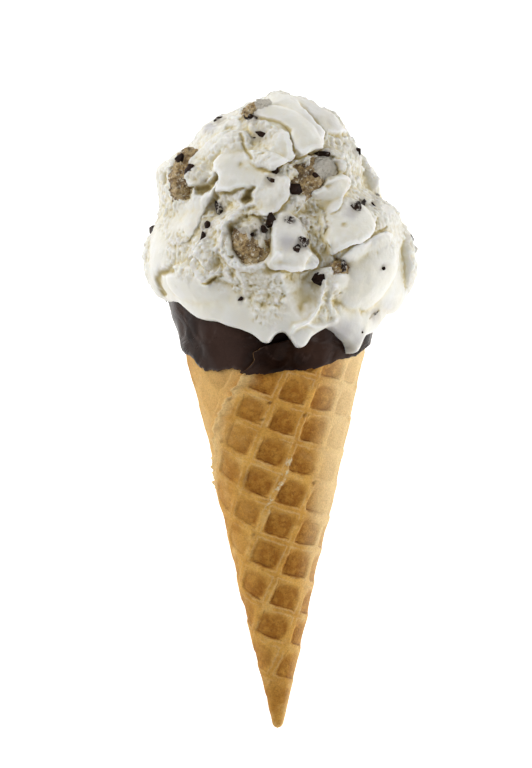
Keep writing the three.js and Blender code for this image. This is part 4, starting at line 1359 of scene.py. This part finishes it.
# %% Waffle
def pressed_lines(tree):
    """The fine parts of the pattern, from the place in the grid: each square's foot, the painted highlight
    along its lip, and pale spots.
    """
    def away(value, middle):
        return maths(tree, "ABSOLUTE", maths(tree, "SUBTRACT", value, middle))

    times, larger = partial(maths, tree, "MULTIPLY"), partial(maths, tree, "MAXIMUM")
    grid = add_node(tree, "ShaderNodeSeparateXYZ", {0: kept(tree, "grid", "Vector")}).outputs
    shake = ranged_noise(tree, (450, 3, 0.6), 0, 1, -0.07, 0.07)
    shares = [maths(tree, "SUBTRACT", maths(tree, "FRACT", grid[axis]), 0.5) for axis in (0, 1)]
    along, up = (maths(tree, "ADD", share, shake) for share in shares)
    reach = larger(maths(tree, "ABSOLUTE", along), maths(tree, "ABSOLUTE", up))
    below = ranged(tree, away(up, -0.365), 0.035, 0.005)
    beside = ranged(tree, away(along, -0.37), 0.03, 0.005, 0, 0.7)
    foot = times(larger(below, beside), ranged(tree, reach, 0.4, 0.36))
    foot = times(foot, ranged_noise(tree, (210, 3), 0.38, 0.56, 0.35, 1))
    # a painted highlight along the lip of each square
    lip = times(ranged(tree, away(reach, 0.43), 0.04, 0), ranged_noise(tree, (140, 3), 0.4, 0.54))
    one_rib = ranged(tree, away(grid[0], 0.04), 0.11, 0.05)
    stretch = ranged(tree, away(grid[1], -1.25), 1.2, 0.9)
    spots = times(times(one_rib, ranged_noise(tree, (330, 3, 0.6), 0.52, 0.6)), stretch)
    pattern = kept(tree, "pattern")
    return [times(line, pattern) for line in (foot, lip, spots)]


def waffle_finish():
    material, tree = new_finish("waffle")
    toasted, brown = (0.59, 0.285, 0.048), (0.36, 0.135, 0.014)
    dark_brown, pale = (0.17, 0.06, 0.01), (0.90, 0.70, 0.38)
    foot, lip, spots = pressed_lines(tree)
    mottled = layered(
        tree, brown,
        ((380, 4, 0.65), 0.42, 0.68, 1, toasted),
        ((950, 4, 0.65), 0.52, 0.68, 0.5, dark_brown),
    )
    relief = maths(tree, "ADD", noise_node(tree, 1400, 5, 0.65), maths(tree, "MULTIPLY", lip, 0.25))
    return finished(material, {
        "Base Color": layered(
            tree, (0.81, 0.455, 0.105),
            ((70, 4), 0.35, 0.68, 1, toasted),
            ((210, 4, 0.6), 0.5, 0.68, 0.5, (0.92, 0.62, 0.23)),
            ((260, 4, 0.6), 0.5, 0.36, 0.35, brown),
            # painted light on the cone's right side
            ("painted_right_light", 0, 1, 0.55, pale),
            # brown of the pressed squares, with painted shade towards each square's lower edge, darker
            # towards the tip and a painted shadow just below the chocolate
            ("floor", 0.05, 0.8, 0.95, mottled),
            # darker in the creases, bubbles and pits, and along each square's foot
            ("crease", 0.15, 1, 0.35, dark_brown),
            (foot, 0, 1, 0.85, dark_brown),
            # painted highlight along each square's lip
            (lip, 0, 1, 0.3, pale),
            # painted light on the right side again, over the squares
            ("painted_right_light", 0, 1, 0.45, pale),
            ("inner", 0, 1, 0.45, (0.90, 0.62, 0.26)),
            ("edge", 0, 1, 0.7, (0.95, 0.71, 0.34)),
            (spots, 0, 1, 0.75, (0.86, 0.80, 0.56)),
            ((1900, 4, 0.7), 0.4, 0.66, 0.3, dark_brown),
        ),
        "Normal": bump(tree, relief, 0.6, 0.0006),
        "Roughness": 0.62,
        "Specular IOR Level": 0.1,
        "Subsurface Weight": 0.1,
        "Subsurface Radius": (0.002, 0.001, 0.0004),
        "Subsurface Scale": 0.5,
    })


waffle = waffle_finish()
settle(waffle_cone, waffle, "waffle_cone")


# %% Dark chocolate
def chocolate_finish():
    material, tree = new_finish("dark_chocolate")
    return finished(material, {
        "Base Color": layered(
            tree, (0.007, 0.002, 0.0007),
            ((120, 4), 0.4, 0.7, 1, (0.034, 0.015, 0.008)),
            # painted sheen
            ("painted_sheen", 0, 1, 0.8, (0.062, 0.037, 0.03)),
            ("bare", 0.2, 0.9, 0.9, (0.30, 0.155, 0.045)),
        ),
        "Roughness": ranged_noise(tree, (160, 2), 0.3, 0.7, 0.2, 0.34),
        "Normal": bump(tree, noise_node(tree, 300, 2), 0.12, 0.0008),
        "Specular IOR Level": 0.06,
    })


dark_chocolate = chocolate_finish()
settle(chocolate_dip, dark_chocolate, "chocolate_dip")
# fmt: on

# %% [markdown]
# ## Cookie dough
# Lumps of raw dough, pressed into the ice cream. Each is a ball with a coarse, sandy grain. The shown
# lumps lie in the openings that were carved for them, and the others where their nodes are.

# %% Shape the dough
SHOWN_DOUGH = {  # middle of the opening, half sizes, turn in degrees and height above the opening's floor
    "cookie_dough_left": ((-32.8, 184), (4.4, 9.6, 5), 0, 2.6),
    "cookie_dough_middle": ((-9.2, 161.6), (8.8, 9.6, 7), 0, 2.7),
    "cookie_dough_right": ((12.2, 183.2), (13, 7, 5.5), 28, 2.2),
    "cookie_dough_low": ((20.4, 152.6), (3.6, 2.6, 3), 10, 2.2),
    "cookie_dough_top": ((-7, 206.6), (5.2, 2.4, 2.8), 40, 1.9),
}
BACK_DOUGH = {  # half sizes
    "cookie_dough_back_left": (7, 6.5, 5.5),
    "cookie_dough_back_right": (7.5, 6, 5.5),
    "cookie_dough_back": (6.5, 6, 5),
}
GLAZED = [  # (across, up) and radius of the films of ice cream that cover the dough
    ((16.5, 186.8), 5.4), ((-5, 165.6), 4.4), ((-11, 167.4), 3.4), ((-3.4, 207.8), 5),
]
THIN_FILM = 0.15  # everywhere else
DOUGH_SEED = 40
SIGHT_HEIGHT = 100  # millimetres above the axis, outside everything


def first_hit(pieces, start, direction):
    """The first point and outward direction that a straight line meets on any of the pieces."""
    best = None
    for piece in pieces:
        hit, point, normal, _ = piece.ray_cast(start, direction)
        if hit and (best is None or (point - start).length < (best[0] - start).length):
            best = point.copy(), normal.copy()
    return best


def line_of_sight(at):
    return Vector((*at, SIGHT_HEIGHT)), Vector((0, 0, -1))


def dough_place(node):
    """Half sizes of a lump and where it lies: in its opening if it is shown, else at its node."""
    if node in BACK_DOUGH:
        low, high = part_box(node)
        middle = LIE_DOWN.inverted() @ ((low + high) / 2)
        outward = (middle - Vector(core_point(middle.y))).normalized()
        return BACK_DOUGH[node], lobe_frame((middle, outward))
    at, half, turn, rise = SHOWN_DOUGH[node]
    _, outward = front_of_scoop(*at)
    floor, _ = first_hit([ice_cream], *line_of_sight(at))
    return half, lobe_frame((floor, outward), turn, 0, rise - half[2])


def dough_lump(node, seed):
    half, place = dough_place(node)
    bm = bmesh.new()
    add_ball(bm, half, place, 6)
    piece = new_piece(node.replace("cookie_dough", "dough_lump"), bm)
    points, normals = points_of(piece.data), normals_of(piece.data)
    lumps = 0.8 * noise_at(points, 5, 2, seed) + 1.1 * np.abs(noise_at(points, 2.4, 3, seed + 1))
    grains = 0.4 * smooth_step(cell_middles(points, 0.9, seed), 0.6, 0.1)
    move_points(piece.data, points + (lumps + grains - 0.3)[:, None] * normals)
    film = THIN_FILM + 0 * points[:, 0]
    for at, radius in GLAZED:
        film += 0.5 * (1 - smooth_step(np.linalg.norm(points[:, :2] - at, axis=1), 0.65 * radius, radius))
    mark(piece.data, "film", np.where(points[:, 2] > 0, film, THIN_FILM))
    return piece


# fmt: off
def dough_finish():
    material, tree = new_finish("cookie_dough")
    return finished(material, {
        "Base Color": layered(
            tree, (0.52, 0.36, 0.155),
            ((1100, 3, 0.6), 0.38, 0.64, 1, (0.19, 0.105, 0.03)),
            ((260, 4, 0.6), 0.45, 0.6, 0.75, (0.62, 0.48, 0.27)),
            ((300, 4, 0.65), 0.48, 0.58, 0.75, (0.09, 0.042, 0.01)),
            ((800, 5, 0.7), 0.56, 0.64, 0.8, (0.82, 0.77, 0.64)),
            (melted_film(tree), 0, 1, 1, (0.64, 0.61, 0.54)),
        ),
        "Normal": bump(tree, noise_node(tree, 1500, 4, 0.65), 0.8, 0.0008),
        "Roughness": 0.5,
    })
# fmt: on


bpy.context.view_layer.update()
cookie_dough = dough_finish()
dough = {node: dough_lump(node, seed) for seed, node in enumerate([*SHOWN_DOUGH, *BACK_DOUGH], DOUGH_SEED)}

# %% [markdown]
# ## Chocolate chips
# The chips are shards of broken chocolate, up to six millimetres long. Each is the convex hull of a few
# points scattered on a squashed ball, with its edges bevelled. It is dropped onto the finished surface
# along the line of sight, and nearly half of it is sunk. Some are filmed over with melted ice cream,
# which the finish reads from a number kept with each chip.

# %% Break the chips
REST_CHIPS = 26
CHIP_SPREAD = radians(82)  # bearings to each side of the back
CHIP_CORNERS = 13
CHIP_SCALE = 1.36  # a shard fills this much less than its ball
CHIP_RISE = 0.1  # share of a chip's width by which its middle stands above the skin
CHIP_SEED = 77
CHIP_START = 40  # how far outside the scoop the others are dropped from


def chip_places(draw):
    for at, length, width, turn, film in SHOWN_CHIPS:
        yield *line_of_sight(at), length, width, turn, film
    for i in range(REST_CHIPS):
        bearing = pi + CHIP_SPREAD * sin(i * 1.9 + 1)
        point, outward = side_of_scoop(bearing, mix(146, 203, evenly(i)))
        length = draw.uniform(2.2, 5)
        width = length * draw.uniform(0.5, 0.95)
        turn, film = draw.uniform(0, 180), draw.choice([0, 0.1, 0.3, 0.7])
        yield point + CHIP_START * outward, -outward, length, width, turn, film


def chocolate_chips(pieces):
    bpy.context.view_layer.update()
    draw = Random(CHIP_SEED)
    bm = bmesh.new()
    film_layer = bm.verts.layers.float.new("film")
    for start, direction, length, width, turn, film in chip_places(draw):
        hit = first_hit(pieces, start, direction)
        if not hit:
            print("no ice cream under the chip at", tuple(round(value, 1) for value in start))
            continue
        point, outward = hit
        outward = (outward - 1.2 * direction).normalized()
        half = Vector((length, width, 0.8 * width)) / 2 * CHIP_SCALE
        place = lobe_frame((point, outward), turn, draw.uniform(-14, 14), CHIP_RISE * width)
        corners = []
        for _ in range(CHIP_CORNERS):
            corner = Vector([draw.gauss(0, 1) for _ in range(3)]).normalized() * draw.uniform(0.85, 1.15)
            corners.append(bm.verts.new(place @ Vector(a * b for a, b in zip(corner, half))))
        hull = bmesh.ops.convex_hull(bm, input=corners)
        inner = {*hull["geom_interior"], *hull["geom_unused"]}
        bmesh.ops.delete(bm, geom=[item for item in inner if item in corners], context="VERTS")
        shard = [vert for vert in corners if vert.is_valid]
        for vert in shard:
            vert[film_layer] = film
        edges = list(dict.fromkeys(edge for vert in shard for edge in vert.link_edges))
        bevel = {"offset": 0.07 * width, "segments": 2, "profile": 0.5, "clamp_overlap": True}
        bmesh.ops.bevel(bm, geom=edges, affect="EDGES", **bevel)
    return new_piece("chocolate_chips", bm)


# fmt: off
def chip_finish():
    material, tree = new_finish("chip_chocolate")
    return finished(material, {
        "Base Color": layered(
            tree, (0.009, 0.0035, 0.002),
            ((500, 3), 0.35, 0.7, 1, (0.035, 0.016, 0.009)),
            (melted_film(tree), 0, 1, 1, (0.66, 0.63, 0.57)),
        ),
        "Normal": bump(tree, noise_node(tree, 1100, 4, 0.6), 0.7, 0.0006),
        "Roughness": 0.45,
        "Specular IOR Level": 0.1,
    })
# fmt: on


chips = chocolate_chips([ice_cream, *dough.values()])
settle(chips, chip_finish(), "ice_cream")
for node, lump in dough.items():
    settle(lump, cookie_dough, node)
settle(ice_cream, vanilla, "ice_cream")

# %% [markdown]
# ## Table, light and camera
# A plain pale table, lit from all around, with soft light from both sides. The camera looks straight down
# on the shown side, square to the cone's axis.

# %% Table
def pale_table():
    bm = bmesh.new()
    bmesh.ops.create_grid(bm, x_segments=1, y_segments=1, size=3)
    table = new_piece("table", bm)
    material, _ = new_finish("pale_table")
    glow = {"Emission Color": (1, 1, 1), "Emission Strength": 0.85}
    table.data.materials.append(finished(material, {"Base Color": (0.9, 0.9, 0.9), "Roughness": 0.8, **glow}))
    table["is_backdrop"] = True


pale_table()

# %% Lights
MIDDLE = Vector((0, 0.01, 0.04))  # what the lights face, in metres
ROOM_LIGHT = 0.12
LIGHTS = {  # place and size in metres, and watts
    "left_softbox": ((-0.6, 0.3, 0.6), 0.5, 4.9),
    "right_softbox": ((0.75, -0.05, 0.36), 0.6, 4.1),
    "top_softbox": ((0.0, 0.85, 0.55), 0.8, 0.9),
    "low_softbox": ((0.1, -0.85, 0.5), 0.6, 1.3),
}


def add_light(name, place, size, watts):
    light = bpy.data.lights.new(name, "AREA")
    light.size, light.energy = size, watts
    lamp = bpy.data.objects.new(name, light)
    lamp.location = place
    lamp.rotation_euler = (MIDDLE - lamp.location).to_track_quat("-Z", "Y").to_euler()
    bpy.context.scene.collection.objects.link(lamp)


for name, values in LIGHTS.items():
    add_light(name, *values)

world = bpy.data.worlds.new("soft_room")
world.use_nodes = True
for name, value in {"Color": (1, 1, 1), "Strength": ROOM_LIGHT}.items():
    feed(world.node_tree, value, world.node_tree.nodes["Background"].inputs[name])
bpy.context.scene.world = world
bpy.context.scene.view_settings.view_transform = "Standard"

# %% Camera
LENS = 600  # a long lens, so that near parts look no larger than far ones
SENSOR = 36  # of the long side
VIEW_HEIGHT = 256  # millimetres of the object's plane that the long side shows
VIEW_MIDDLE = Vector((-3.8, 114.7, 0))  # in the cone's own frame


def add_camera():
    camera = bpy.data.objects.new("camera", bpy.data.cameras.new("camera"))
    camera.data.lens, camera.data.sensor_width = LENS, SENSOR
    away = VIEW_HEIGHT * LENS / SENSOR
    place = LIE_DOWN @ (VIEW_MIDDLE + Vector((0, 0, away)))
    camera.matrix_world = Matrix.Translation(place) @ Matrix.Rotation(LIE_ANGLE, 4, "X")
    camera.data.clip_start, camera.data.clip_end = 0.01, 20
    bpy.context.scene.collection.objects.link(camera)
    bpy.context.scene.camera = camera


add_camera()

# %% Print the sizes of the frame and of the finished scene
boxes = {"cad": cad_box, "visual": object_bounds()}
{name: [list(corner) for corner in box] for name, box in boxes.items()}
print({name: [round(1000 * value, 1) for corner in box for value in corner] for name, box in boxes.items()})
